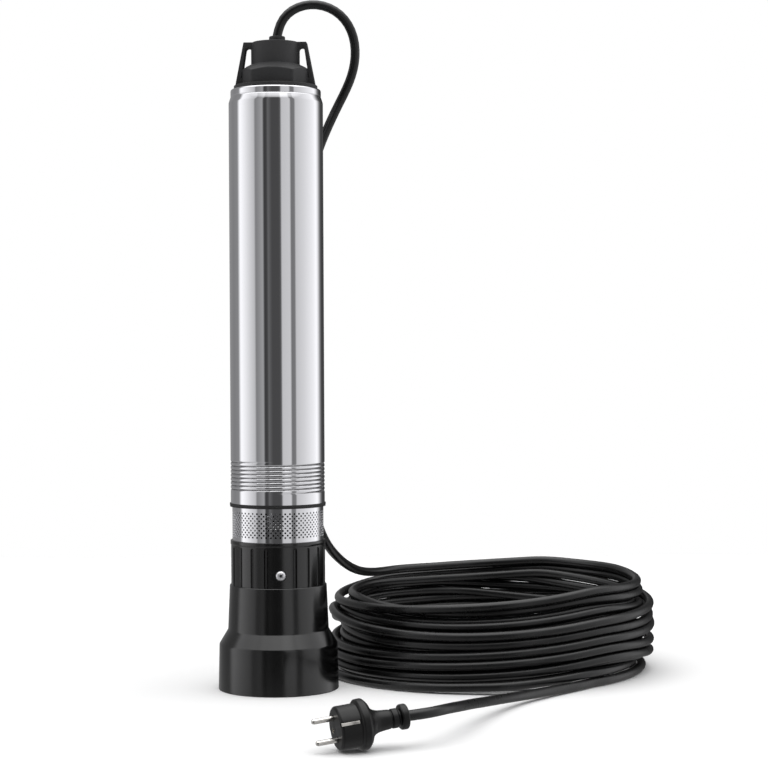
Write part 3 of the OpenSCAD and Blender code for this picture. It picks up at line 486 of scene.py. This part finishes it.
def grid(rows, wrap=True, close=True):
    """Faces between rows of points; wrap joins a row's ends, close joins the last row to the first"""
    n, m = len(rows), len(rows[0])
    verts = [tuple(p) for row in rows for p in row]
    faces = []
    for i in range(n if close else n - 1):
        for j in range(m if wrap else m - 1):
            a, b = i * m + j, i * m + (j + 1) % m
            c, d = (i + 1) % n * m + (j + 1) % m, (i + 1) % n * m + j
            faces.append((a, b, c, d))
    return verts, faces


def lathe(profile, n=160, loop=True):
    """An outline of radius and height, turned about the Z axis; loop closes the outline"""
    return grid([[polar(r, t, z) for r, z in profile] for t in around(n)], loop)


def moved(part, matrix):
    """A part taken to another place"""
    return [tuple(matrix @ Vector(p)) for p in part[0]], part[1]


def raw(name, parts):
    """A plain object from parts, welded, with its normals outward"""
    verts, faces = [], []
    for v, f in parts:
        base = len(verts)
        verts += [tuple(MM * c for c in p) for p in v]
        faces += [tuple(base + i for i in q) for q in f]
    mesh = bpy.data.meshes.new(name)
    mesh.from_pydata(verts, [], faces)
    tidy(mesh)
    obj = bpy.data.objects.new(name, mesh)
    scene.collection.objects.link(obj)
    return obj


def cut(obj, tools):
    """Take tool objects out of a piece and apply the result"""
    for tool in tools:
        knife = obj.modifiers.new("cut", "BOOLEAN")
        knife.object, knife.solver, knife.operation = tool, "EXACT", "DIFFERENCE"
    apply(obj)
    for tool in tools:
        bpy.data.objects.remove(tool, do_unlink=True)
    tidy(obj.data)


def turn_z(degrees):
    """A turn about the Z axis"""
    return Matrix.Rotation(math.radians(degrees), 4, "Z")


print("shape helpers ready")

# %% [markdown]
# ## Foot
# The pump stands on a black moulded foot: a wide base, a cone and a slim neck, with every edge
# softened as a moulding tool leaves it. It could be stacked from cones, but one turned outline
# has no seams and carries the wall and the raised floor too. Six drain holes are cut last.

# %% Foot
foot_outline = [
    (62.1, 0), (61, 46.8), (52, 61.8), (50, 108), (47, 108), (47, 90), (38, 90), (38, 86), (47, 86),
    (47, 59), (58, 43), (59.1, 5), (0, 5), (0, 2), (57.5, 2), (57.5, 0),
]
DRAIN_R, DRAIN_AT = 5, 36
foot = raw("foot_shell", [lathe(soft(foot_outline, 1.1), 192)])
drill = lathe([(0, 0), (DRAIN_R, 0), (DRAIN_R, 8), (0, 8)], 32)
cut(foot, [
    raw("drill", [moved(drill, turn_z(30 + 60 * k) @ Matrix.Translation((DRAIN_AT, 0, 0)))])
    for k in range(6)
])
dress(foot, looks["moulded_black"], "moulded_black", "stand_foot")

# %% [markdown]
# ## Grip collar
# The collar above the foot is turned by hand, so it carries eighteen round-ended flutes in two
# groups, and between the groups a small flat for a lock screw. Cutting the flutes with
# booleans would leave ragged shading. Instead the skin is one net of points, closer together
# where a flute or a flat needs them, and each point is pushed in by what it lies in.

# %% Grip collar
LOCK = -84
COLLAR_R, FLAT_R, SCREW_Z = 48.5, 48.1, 121
FLUTE_R, FLUTE_TOP = 1.9, 146.3
flutes = [math.radians(LOCK + 18 * k) for k in range(20) if k % 10]
locks = [math.radians(LOCK + 180 * k) for k in range(2)]
angles = sorted(
    [c + 2.2 * d / COLLAR_R for c in flutes for d in np.linspace(-1, 1, 17)]
    + [c + d / COLLAR_R for c in locks for d in np.linspace(-6.6, 6.6, 34)]
    + [c + math.radians(o) for c in flutes for o in (5, 9, 13)]
    + [c + math.radians(o) for c in locks for o in (10, 13)]
)
levels = [(46.8, 90), (46.8, 107.8), (48.2, 107.8), (COLLAR_R, 108.1)]
levels += [(COLLAR_R, z) for z in np.concatenate([
    np.arange(114.4, 127.8, 0.4), [132, 138, 143], np.arange(145.4, 148.8, 0.2)])]
levels += [
    (COLLAR_R, 149.4), (48.85, 149.7), (49, 150), (49, 153.4), (48.8, 153.8), (48.4, 154), (45, 154),
    (45, 112), (40, 112), (40, 90),
]


def skin(r, z, t):
    """The collar's radius at a point of its net, with flutes and flats pressed in"""
    if r < 48.4 or z > 149:
        return r
    push = 0.0
    for c in flutes:
        side = COLLAR_R * abs(math.remainder(t - c, TAU))
        far = math.hypot(side, max(0.0, z - FLUTE_TOP)) / FLUTE_R
        if far < 1:
            push = max(push, FLUTE_R * (1 - far ** 2.8))
    for c in locks:
        off = math.remainder(t - c, TAU)
        if math.hypot(COLLAR_R * off, z - SCREW_Z) < 5.3:
            push = max(push, COLLAR_R - FLAT_R / math.cos(off))
    return r - push


collar = raw("collar_shell", [grid([[polar(skin(r, z, t), t, z) for t in angles] for r, z in levels])])
dress(collar, looks["moulded_black"], "moulded_black", "grip_collar")

# %% [markdown]
# ## Lock screws
# Two domed screws with a cross recess hold the collar. A recess could be a bump in the finish,
# but its edges catch the light, so it is cut: two crossed arms and a pit in the middle. One
# screw is modelled, lying on its side, and the ring group sets it twice.


# %% Lock screws
def softened(bm, width):
    """Round the sharp edges of a bmesh and give it back as a part"""
    bm.normal_update()
    rim = [e for e in bm.edges if len(e.link_faces) == 2 and e.calc_face_angle() > 0.7]
    bmesh.ops.bevel(bm, geom=rim, offset=width, segments=3, profile=0.5, affect="EDGES",
                    clamp_overlap=True)
    bm.verts.index_update()
    part = [tuple(v.co) for v in bm.verts], [tuple(v.index for v in f.verts) for f in bm.faces]
    bm.free()
    return part


def prism(outline, z0, z1, edge):
    """An outline raised from z0 to z1, with its sharp edges rounded"""
    bm = bmesh.new()
    face = bm.faces.new([bm.verts.new((x, y, z0)) for x, y in outline])
    for v in bmesh.ops.extrude_face_region(bm, geom=[face])["geom"]:
        if isinstance(v, bmesh.types.BMVert):
            v.co.z = z1
    return softened(bm, edge)


screw_outline = soft([
    (0, 2.9), (2, 2.75), (3.6, 2.2), (4.6, 1.4), (5, 0.5), (5, 0), (2.4, 0), (2.4, -8), (0, -8),
], 0.5)
lay = Matrix.Rotation(math.pi / 2, 4, "Y")
screw = raw("screw_model", [moved(lathe(screw_outline, 40), lay)])
cross = prism([(-2.8, -0.7), (2.8, -0.7), (2.8, 0.7), (-2.8, 0.7)], 0.2, 4, 0.1)
pit = lathe([(0, -0.5), (1.2, -0.5), (1.8, 4), (0, 4)], 32)
cut(screw, [raw("slot", [moved(cross, lay @ turn_z(a))]) for a in (45, 135)]
    + [raw("pit", [moved(pit, lay)])])
screws = run_group("lock_screws", ring, {
    "Copy": screw, "Count": 2, "Radius": FLAT_R * MM, "Height": SCREW_Z * MM,
    "Start": math.radians(LOCK), "Finish": looks["screw_steel"],
})
bpy.data.objects.remove(screw, do_unlink=True)
dress(screws, looks["screw_steel"], "screw_steel", "collar_screws")

# %% [markdown]
# ## Strainer, one hole
# The strainer is a stainless sheet with eleven staggered rows of round holes. Cutting 660 holes
# with a boolean is slow, and a see-through texture has no thickness. So one small cell of sheet
# is made with its hole, its softened rim and its wall, to be set many times.

# %% One cell of the sheet
ROWS, COLUMNS, PITCH = 11, 60, 2.4
SLEEVE_R, SHEET, HOLE_R = 47.0, 0.8, 0.98
cell_w = TAU * SLEEVE_R / COLUMNS
edge = [(x, -PITCH / 2) for x in np.linspace(-0.5, 0.5, 5)[:-1] * cell_w]
edge += [(cell_w / 2, y) for y in np.linspace(-0.5, 0.5, 5)[:-1] * PITCH]
edge += [(-x, -y) for x, y in edge]
hole = [(HOLE_R * math.cos(math.atan2(y, x)), HOLE_R * math.sin(math.atan2(y, x))) for x, y in edge]
wide = [(0.5 * (x + 1.25 * u), 0.5 * (y + 1.12 * v)) for (x, y), (u, v) in zip(edge, hole)]
cell = raw("cell", [grid([
    [(x, y, 0) for x, y in edge], [(x, y, 0) for x, y in wide],
    [(x * 1.05, y * 1.05, 0) for x, y in hole], [(x, y, -0.06) for x, y in hole],
    [(x, y, -0.74) for x, y in hole], [(x, y, -SHEET) for x, y in edge],
], close=False)])
print("cell", round(cell_w, 2), "mm wide,", len(cell.data.polygons), "faces")

# %% [markdown]
# ## Strainer, the sleeve
# A node group sets the cell on a flat net of points, every second row half a cell further on,
# rolls the net into a sleeve and welds the cells. Rolling after copying, instead of turning
# each flat cell, leaves no facets at the joins.

# %% Sleeve group
sleeve, given, result = node_group("perforated_sleeve", [
    ("Cell", "Object"), ("Columns", "Int"), ("Rows", "Int"), ("Width", "Float"), ("Pitch", "Float"),
    ("Radius", "Float"), ("Height", "Float"), ("Finish", "Material"),
])
net = add(sleeve, "GeometryNodeMeshLine", {
    "Count": calc(sleeve, "MULTIPLY", given["Columns"], given["Rows"])})
index = add(sleeve, "GeometryNodeInputIndex").outputs[0]
row_no = calc(sleeve, "FLOOR", calc(sleeve, "DIVIDE", index, given["Columns"]))
column_no = calc(sleeve, "MODULO", index, given["Columns"])
stagger = calc(sleeve, "MULTIPLY_ADD", calc(sleeve, "MODULO", row_no, 2.0), 0.5, column_no)
flat = add(sleeve, "ShaderNodeCombineXYZ", {
    "X": calc(sleeve, "MULTIPLY", stagger, given["Width"]),
    "Y": calc(sleeve, "MULTIPLY", row_no, given["Pitch"])})
points = add(sleeve, "GeometryNodeSetPosition", {
    "Geometry": net.outputs[0], "Position": flat.outputs[0]})
model = add(sleeve, "GeometryNodeObjectInfo", {"Object": given["Cell"]})
copies = add(sleeve, "GeometryNodeInstanceOnPoints", {
    "Points": points.outputs[0], "Instance": model.outputs["Geometry"]})
real = add(sleeve, "GeometryNodeRealizeInstances", {"Geometry": copies.outputs[0]})
place = add(sleeve, "GeometryNodeInputPosition")
parts = add(sleeve, "ShaderNodeSeparateXYZ", {0: place.outputs[0]}).outputs
bend = calc(sleeve, "DIVIDE", parts["X"], given["Radius"])
reach = calc(sleeve, "ADD", parts["Z"], given["Radius"])
rolled = add(sleeve, "ShaderNodeCombineXYZ", {
    "X": calc(sleeve, "MULTIPLY", calc(sleeve, "COSINE", bend), reach),
    "Y": calc(sleeve, "MULTIPLY", calc(sleeve, "SINE", bend), reach),
    "Z": calc(sleeve, "ADD", parts["Y"], given["Height"])})
shaped = add(sleeve, "GeometryNodeSetPosition", {
    "Geometry": real.outputs[0], "Position": rolled.outputs[0]})
weld = add(sleeve, "GeometryNodeMergeByDistance", {"Geometry": shaped.outputs[0], "Distance": 0.00002})
coat = add(sleeve, "GeometryNodeSetMaterial", {
    "Geometry": weld.outputs[0], "Material": given["Finish"]})
sleeve.links.new(coat.outputs[0], result.inputs[0])
print("sleeve group:", len(sleeve.nodes), "nodes")

# %% [markdown]
# ## Strainer, the piece
# The holes stop short of the sheet's edges, where a plain margin is gripped above and below.
# The margins could be cells without a hole, but two turned bands need far fewer faces. They are
# joined to the perforated net as one mesh.

# %% Strainer
SLEEVE_LOW, SLEEVE_HIGH, SLEEVE_MIDDLE = 154, 188.6, 171.3
low_row = SLEEVE_MIDDLE - PITCH * (ROWS - 1) / 2
strainer = run_group("strainer_sheet", sleeve, {
    "Cell": cell, "Columns": COLUMNS, "Rows": ROWS, "Width": cell_w * MM, "Pitch": PITCH * MM,
    "Radius": SLEEVE_R * MM, "Height": low_row * MM, "Finish": looks["stainless"],
})
bpy.data.objects.remove(cell, do_unlink=True)
net_low, net_high = low_row - PITCH / 2, low_row + PITCH * (ROWS - 0.5)
margins = raw("margins", [
    lathe([(SLEEVE_R, a), (SLEEVE_R, b), (SLEEVE_R - SHEET, b), (SLEEVE_R - SHEET, a)], 240, loop=False)
    for a, b in ((net_low, SLEEVE_LOW), (net_high, SLEEVE_HIGH))
])
both = bmesh.new()
both.from_mesh(strainer.data)
both.from_mesh(margins.data)
both.to_mesh(strainer.data)
both.free()
bpy.data.objects.remove(margins, do_unlink=True)
tidy(strainer.data, 40)
dress(strainer, looks["stainless"], "stainless", "strainer")

# %% [markdown]
# ## Outer tube
# The polished tube has a rolled thread at its foot, one helical groove of eight turns that runs
# out softly at both ends, and at the top the sheet is swaged in and rolled round into a rim. A
# bump map would fake the thread, but then its silhouette would stay straight. So the turned
# net is pushed in by the groove's depth. The valley's faces get a second finish: duller, as
# polishing only reaches the ribs, and a dark grey that is painted shade in the groove.

# %% Outer tube
TUBE_R, TUBE_IN = 48.5, 47.7
ROLL_Z, ROLL_PITCH, ROLL_TURNS, ROLL_DEPTH = 203.5, 4.0, 8, 0.9
# groove faces deeper than this get the valley finish, whose dark grey is painted shade
DULL_AND_SHADED_BELOW = 0.33


def groove(z, t):
    """Depth of the rolled thread at a height and an angle"""
    share = (t + math.pi / 2) % TAU / TAU
    j = round((z - ROLL_Z) / ROLL_PITCH - share)
    away = z - ROLL_Z - (j + share) * ROLL_PITCH
    wound = j + share
    fade = min(1.0, max(0.0, wound / 0.2)) * min(1.0, max(0.0, (ROLL_TURNS - wound) / 0.2))
    return ROLL_DEPTH * fade * (1 - 2 * abs(away) / ROLL_PITCH) ** 2.2


def wall(r, z, t):
    """A point of the tube's wall, with the thread rolled in"""
    return polar(r - groove(z, t) if 200 < z < 240.2 else r, t, z)


up = [(48.2, 192), (TUBE_R, 192.3), (TUBE_R, 198)]
up += [(TUBE_R, z) for z in np.arange(200, 240.1, 0.2)]
up += [(TUBE_R, z) for z in (260, 320, 380, 440, 500, 560, 590, 600)]
up += [
    (TUBE_R, 602.6), (48.42, 603.3), (48.2, 604.1), (47.6, 606), (46.9, 608), (46.62, 608.8),
    (46.5, 609.2), (46.25, 609.5), (46.25, 609.9), (46.5, 610.2), (46.5, 614.6),
]
up += [(44.5 + 2 * math.cos(a), 615 + 2 * math.sin(a)) for a in np.linspace(0, math.pi / 2, 9)]
up += [(43.5, 617), (43.25, 616.9), (43.2, 616.6)]
down = [(43.2, 616.2), (44.5, 616.2), (45.35, 615.85), (45.7, 615), (45.7, 609)]
down += [(TUBE_IN, 603.5), (TUBE_IN, 240.1)]
down += [(TUBE_IN, z) for z in np.arange(239.75, 199.9, -0.5)]
down += [(TUBE_IN, 192)]
tube = raw("tube_shell", [grid([[wall(r, z, t) for t in around(216)] for r, z in up + down])])
dress(tube, looks["stainless"], "stainless", "outer_tube")
# the valley finish: a duller gloss, and a dark grey steel colour that is painted shade in the groove
tube.data.materials.append(finish("thread_valley_painted_shade", grey(0.30), grey(0.38), (0.35, 0.45), 1.0, drift=120))
for face in tube.data.polygons:
    x, y, z = face.center * 1000
    if 200 < z < 240 and math.hypot(x, y) < 48.6 and groove(z, math.atan2(y, x)) > DULL_AND_SHADED_BELOW:
        face.material_index = 1
print(sum(face.material_index for face in tube.data.polygons), "dull faces in the thread's valley")

# %% [markdown]
# ## Discharge head, flange and block
# The black head closes the tube. Its flange and skirt are turned. The block above is a hexagon
# for a spanner with a conical top, so its upper edge bows on every face. A boolean of a cone
# and a prism would give that edge, but the net below gives it a soft bevel too.

# %% Flange and hexagonal block
SEAT_Z, CONE_Z, SPIGOT_R = 620.5, 643, 24.5
TWIST = turn_z(-3)
flange = lathe(soft([
    (13, 610), (43, 610), (43, 592), (47.2, 592), (47.2, 603), (45.2, 608.6), (45.2, 615.6),
    (44.4, 616.2), (43, 616.2), (43, 621), (13, 621),
], 0.7), 160)


def divided(outline, count):
    """An outline with each side cut into lengths; count says how many for a side's length"""
    out = []
    for (x0, y0), (x1, y1) in zip(outline, outline[1:] + outline[:1]):
        n = count(math.hypot(x1 - x0, y1 - y0))
        out += [(x0 + (x1 - x0) * k / n, y0 + (y1 - y0) * k / n) for k in range(n)]
    return out


def cone(x, y):
    """Height of the block's conical top"""
    return CONE_Z - (math.hypot(x, y) - SPIGOT_R) / 2


corners = [(21.75, -36), (36.5, 0), (21.75, 36), (-21.75, 36), (-36.5, 0), (-21.75, -36)]
hexagon = divided(soft(corners, 2.2, 5), lambda side: max(1, round(side / 4)))
rows = [[(x, y, SEAT_Z) for x, y in hexagon]]
rows += [[(x * f, y * f, cone(x, y) - d) for x, y in hexagon]
         for f, d in ((1, 1.6), (0.997, 0.9), (0.985, 0.35), (0.965, 0.0))]
rows += [[(x * f, y * f, cone(x * f, y * f)) for x, y in hexagon] for f in (0.9, 0.8)]
rows += [[(23 * x / math.hypot(x, y), 23 * y / math.hypot(x, y), z) for x, y in hexagon]
         for z in (643.7, SEAT_Z)]
block = moved(grid(rows), TWIST)
print("flange and block:", len(flange[1]) + len(block[1]), "faces")

# %% [markdown]
# ## Discharge head, outlet
# The outlet is a round spigot with a pipe thread inside, into which the riser pipe is screwed.
# A thread can be swept along a helix and cut out. Here the bore's net is waved instead, with
# eleven turns to the inch, which keeps the mesh closed and the thread's ends soft.

# %% Outlet spigot
BORE_R, THREAD_PITCH = 20.4, 2.309
spigot_up = [(SPIGOT_R, 621), (SPIGOT_R, 664.6), (24.2, 665.2), (23.7, 665.5), (21.6, 665.5), (20.7, 664.9)]
bore = [(BORE_R, z) for z in np.arange(664.5, 646.4, -0.33)]
spigot_in = [(19.6, 645.6), (18.8, 645.5), (18.8, 628), (13, 628), (13, 621)]


def pipe_thread(r, z, t):
    """The spigot's radius at a point of its net, with the thread raised in the bore"""
    if r != BORE_R:
        return r
    wave = 0.5 + 0.5 * math.cos(TAU * (z / THREAD_PITCH - t / TAU))
    fade = min(1, (664.6 - z) / 1.5) * min(1, (z - 646) / 2)
    return r - 1.0 * fade * wave ** 0.8


spigot = grid([[polar(pipe_thread(r, z, t), t, z) for t in around(144)]
               for r, z in spigot_up + bore + spigot_in])
print("spigot:", len(spigot[1]), "faces")

# %% [markdown]
# ## Discharge head, rope eyes and gland tower
# A plate with a tall slot stands on each side, for the rope that the pump hangs on, and a tower
# behind carries the cable gland. A plate could be a box with a hole cut through it, but two
# loops of points, bridged and bevelled, have cleaner edges. All members overlap as they run
# into each other in the moulding, and become one piece.

# %% Rope eyes, tower and head
GLAND_Y = 33
HALF_PLATE, EYE_TOP = 7, 665.5


def eye():
    """One rope eye: a plate with a tall slot, its edges rounded"""
    outer = [(20.5, 619), (41.5, 619), (32.4, EYE_TOP)]
    outer += [(x, EYE_TOP) for x in np.linspace(31.9, 21.5, 7)] + [(20.5, EYE_TOP)]
    arc = [(27.5 + 3 * math.cos(a), 657 + 3 * math.sin(a)) for a in np.linspace(0, math.pi, 9)]
    slot = [(24.5, 629), (34.6, 629)] + arc
    bm = bmesh.new()
    (a, b), (c, d) = [[[bm.verts.new((x, y, z)) for x, z in loop] for loop in (outer, slot)]
                      for y in (-HALF_PLATE, HALF_PLATE)]
    for k in range(len(outer)):
        m = (k + 1) % len(outer)
        for quad in ((a[k], a[m], b[m], b[k]), (c[m], c[k], d[k], d[m]),
                     (a[m], a[k], c[k], c[m]), (b[k], b[m], d[m], d[k])):
            bm.faces.new(quad)
    return softened(bm, 0.8)


eyes = [moved(eye(), TWIST @ Matrix.Rotation(a, 4, "Z")) for a in (0, math.pi)]
tower = moved(
    lathe(soft([(5, 618), (8.4, 618), (8.4, 660), (6.5, 660), (6.5, 650), (5, 650)], 0.5), 64),
    Matrix.Translation((0, GLAND_Y, 0)))
web = prism([(-4, 21.5), (4, 21.5), (4, GLAND_Y), (-4, GLAND_Y)], 621, 655, 0.8)
head_shell = raw("head_shell", [flange, block, spigot, tower, web] + eyes)
dress(head_shell, matt, "moulded_black", "discharge_head")

# %% [markdown]
# ## Gland nut
# The nut on the tower squeezes a grommet round the cable: a small hexagon with a round collar
# on top. It could be two pieces set together, but one net that runs from hexagon rows to round
# rows has no gap between them. Every row has 48 points, so they join one to one.

# %% Gland nut
NUT_R = 8.4
six = [(NUT_R * math.cos(math.radians(60 * k)), NUT_R * math.sin(math.radians(60 * k))) for k in range(6)]
nut_hexagon = divided(six, lambda side: 8)


def hex_row(scale, z):
    """A row of the nut's hexagon"""
    return [(x * scale, y * scale, z) for x, y in nut_hexagon]


def round_row(r, z):
    """A round row with as many points as a hexagon row"""
    return [polar(r, t, z) for t in around(48)]


nut = [round_row(5.2, 660.1), hex_row(0.96, 660.1), hex_row(1, 660.7), hex_row(1, 671.6)]
nut += [hex_row(0.96, 672.1)] + [round_row(r, z) for r, z in (
    (7.6, 672.2), (8.2, 672.5), (NUT_R, 673), (NUT_R, 676), (8.1, 676.7), (7.6, 677), (5.6, 677),
    (5.2, 676.6))]
gland = raw("gland_nut_shell", [moved(grid(nut), Matrix.Translation((0, GLAND_Y, 0)))])
dress(gland, matt, "moulded_black", "gland_nut")

# %% [markdown]
# ## Plug body
# The rubber plug lies tilted on its collar and pins at the end of the tail. Body, grip and
# ribbed strain relief are round, so one outline is turned and then taken to its place by one
# matrix. Modelling it in place would mean tilted numbers everywhere. The seats of pins, earth
# strips and earth socket are cut out.

# %% Plug body
PIN_X, EARTH_Y, CLIP_Y = 9.5, -9, 18
PLUG = (Matrix.Translation((128.7, -316.5, 27.6)) @ turn_z(199.5)
        @ Matrix.Rotation(math.radians(96.2), 4, "Y") @ turn_z(20))
plug_outline = [
    (4.6, 0), (10.4, 0), (11.3, 1), (11.3, 5.6), (10.4, 6.8), (7, 7.2), (7, 8.8), (8.7, 9.3), (8.7, 14.4),
    (7.3, 14.8), (7.3, 15.8), (8.6, 16.2), (9, 22), (9.6, 27), (11, 31), (13.6, 34.2), (19.4, 37),
    (22.6, 40), (22.6, 45.5), (21, 47), (19.5, 47.4), (19.5, 64.2), (17.8, 66), (0, 66), (0, 3), (4.6, 3),
]


def in_face(part, x, y):
    """A part set into the plug's face at x, y"""
    return moved(moved(part, Matrix.Translation((x, y, 0))), PLUG)


def on_sides(part):
    """A part set on both sides of the plug"""
    return [moved(part, PLUG @ Matrix.Rotation(a, 4, "Z") @ Matrix.Translation((0, CLIP_Y, 0)))
            for a in (0, math.pi)]


plug = raw("plug_shell", [moved(lathe(soft(plug_outline, 0.9), 112), PLUG)])
clip_cut = prism([(-1.8, -1.5), (1.8, -1.5), (1.8, 2.4), (-1.8, 2.4)], 47.6, 68, 0.2)
pin_cut = lathe([(0, 64), (2.9, 64), (2.9, 67), (0, 67)], 32)
earth_cut = lathe([(0, 54), (2.8, 54), (2.8, 67), (0, 67)], 32)
seats = on_sides(clip_cut) + [in_face(pin_cut, x, 0) for x in (-PIN_X, PIN_X)]
seats += [in_face(earth_cut, 0, EARTH_Y)]
cut(plug, [raw("tool", [seat]) for seat in seats])
dress(plug, looks["plug_rubber"], "plug_rubber", "plug_body")

# %% [markdown]
# ## Plug contacts
# Two pins with rounded tips, two earth strips at the sides and the earth socket in the face are
# bare metal. They could be faces of the body with another finish, but as pieces of their own
# they have sharp seams where metal meets rubber.

# %% Pins and earth strips
pin = lathe(soft([(0, 54), (2.4, 54), (2.4, 84.2), (1.5, 86), (0, 86)], 0.8), 40)
pins = raw("plug_pins_shell", [in_face(pin, x, 0) for x in (-PIN_X, PIN_X)])
dress(pins, looks["contact_metal"], "contact_metal", "plug_pins")

strip = prism([(-1.5, -1.4), (1.5, -1.4), (1.5, 0.9), (-1.5, 0.9)], 48.5, 65.4, 0.25)
cup = lathe(soft([(0, 57), (2.6, 57), (2.6, 65.8), (2.1, 65.8), (2.1, 59), (0, 59)], 0.1), 32)
clips = raw("plug_earth_shell", [in_face(cup, 0, EARTH_Y)] + on_sides(strip))
dress(clips, looks["contact_metal"], "contact_metal", "plug_earth")

# %% [markdown]
# ## Check valve spring
# Inside the outlet a small spring presses the check valve shut. The Screw modifier could wind
# it, but a spring's end turns lie flat, so a net of rings follows a helix whose rise starts late
# and stops early. It gets shorter when the poppet lifts, so the piece gets a mesh of its own.

# %% Valve spring
SPRING_R, WIRE_R, SPRING_LOW, SPRING_RISE = 5.2, 0.75, 632.8, 8.4
SPRING_TURNS, PER_TURN, WIRE_SIDES = 5, 24, 10
wire = []
for k in range(SPRING_TURNS * PER_TURN + 1):
    t = TAU * k / PER_TURN
    z = SPRING_LOW + SPRING_RISE * min(1, max(0, (k / PER_TURN - 0.6) / (SPRING_TURNS - 1.2)))
    wire.append([polar(SPRING_R + WIRE_R * math.cos(a), t, z + WIRE_R * math.sin(a))
                 for a in around(WIRE_SIDES)])
verts, faces = grid(wire, close=False)
faces += [tuple(range(WIRE_SIDES))[::-1], tuple(range(len(verts) - WIRE_SIDES, len(verts)))]
spring = raw("valve_spring_wire", [(verts, faces)])
spring_slot = next(r["material_slot"] for r in frame["record"]["subparts"] if r["node"] == "valve_spring")
dress(spring, looks["shaft_steel"], spring_slot, "valve_spring")
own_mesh(spring)

# %% [markdown]
# ## Floor
# The pump stands on a plain white table. A curved backdrop would do as well, but the camera sees
# white behind the object anyway, so a flat sheet is enough to catch the soft shadows. The sheet
# is left out of mirror reflections, because a white floor would wash out the black mouldings.

# %% Floor
floor_mesh = bpy.data.meshes.new("floor")
floor_mesh.from_pydata([(-1.1, -0.8, 0), (1.5, -0.8, 0), (1.5, 1.3, 0), (-1.1, 1.3, 0)], [], [(0, 1, 2, 3)])
floor = bpy.data.objects.new("floor", floor_mesh)
scene.collection.objects.link(floor)
floor_mesh.materials.append(finish("floor_paint", (0.86, 0.86, 0.86), (0.88, 0.88, 0.88), (0.8, 0.9),
                                   drift=0.5, relief=0.0))
floor.visible_glossy = False
print("floor", tuple(round(side, 2) for side in floor.dimensions), "m")

# %% [markdown]
# ## Studio sky
# Polished steel shows what stands round it. In a studio these are tall white panels with dark
# gaps between them, which draw the upright streaks on the tube. Lamps and cards could be set up
# one by one, but a world shader holds them all in one colour ramp round the horizon: each stop
# is a bearing, with 0 towards the camera, and a brightness. Overhead the sky is bright white,
# and below the horizon it fades towards a grey that stands for the floor's reflection. The
# camera itself sees plain white behind the object.

# %% Studio sky
stops = [
    (-180, 0.26), (-165, 0.30), (-127, 0.24), (-106, 0.27), (-97, 1.15), (-91, 1.12), (-80, 0.96),
    (-67, 0.76), (-53, 0.58), (-49, 0.24), (-43, 0.28), (-31, 0.38), (-27, 0.05), (-21, 0.06),
    (-17, 0.14), (-8, 0.07), (9, 0.07), (13, 0.11), (16, 0.60), (36, 0.65), (39, 0.19), (48, 0.21),
    (51, 0.61), (73, 0.74), (103, 0.98), (116, 1.14), (124, 0.80), (132, 0.30), (141, 0.07),
    (157, 0.05), (180, 0.10),
]
OVERHEAD, UNDERFOOT, BACKDROP = (2.45, 2.45, 2.45, 1), (0.42, 0.42, 0.42, 1), (1, 1, 1, 1)
world = bpy.data.worlds.new("studio")
scene.world = world
world.use_nodes = True
sky = world.node_tree
way = sky.nodes.new("ShaderNodeTexCoord")
axes = add(sky, "ShaderNodeSeparateXYZ", {0: way.outputs["Generated"]}).outputs
bearing = calc(sky, "ARCTAN2", axes["X"], calc(sky, "MULTIPLY", axes["Y"], -1.0))
share = add(sky, "ShaderNodeMapRange", {"Value": bearing, "From Min": -math.pi, "From Max": math.pi})
panels = add(sky, "ShaderNodeValToRGB", {0: share.outputs[0]})
track = panels.color_ramp
while len(track.elements) < len(stops):
    track.elements.new(0.5)
for element, (degrees, value) in zip(track.elements, stops):
    element.position = (degrees + 180) / 360
    element.color = (value, value, value * 1.01, 1)
above = add(sky, "ShaderNodeMapRange", {"Value": axes["Z"], "From Min": 0.6, "From Max": 0.9})
below = add(sky, "ShaderNodeMapRange", {
    "Value": axes["Z"], "From Min": -0.12, "From Max": -0.45, "To Max": 0.65})
rays = sky.nodes.new("ShaderNodeLightPath")
colour = panels.outputs[0]
for amount, over in ((above.outputs[0], OVERHEAD), (below.outputs[0], UNDERFOOT),
                     (rays.outputs["Is Camera Ray"], BACKDROP)):
    mix = add(sky, "ShaderNodeMix", {"Factor": amount}, data_type="RGBA")
    sky.links.new(colour, mix.inputs["A"])
    mix.inputs["B"].default_value = over
    colour = mix.outputs["Result"]
sky.links.new(colour, sky.nodes["Background"].inputs["Color"])
scene.view_settings.view_transform = "Standard"
print("sky with", len(stops), "stops")
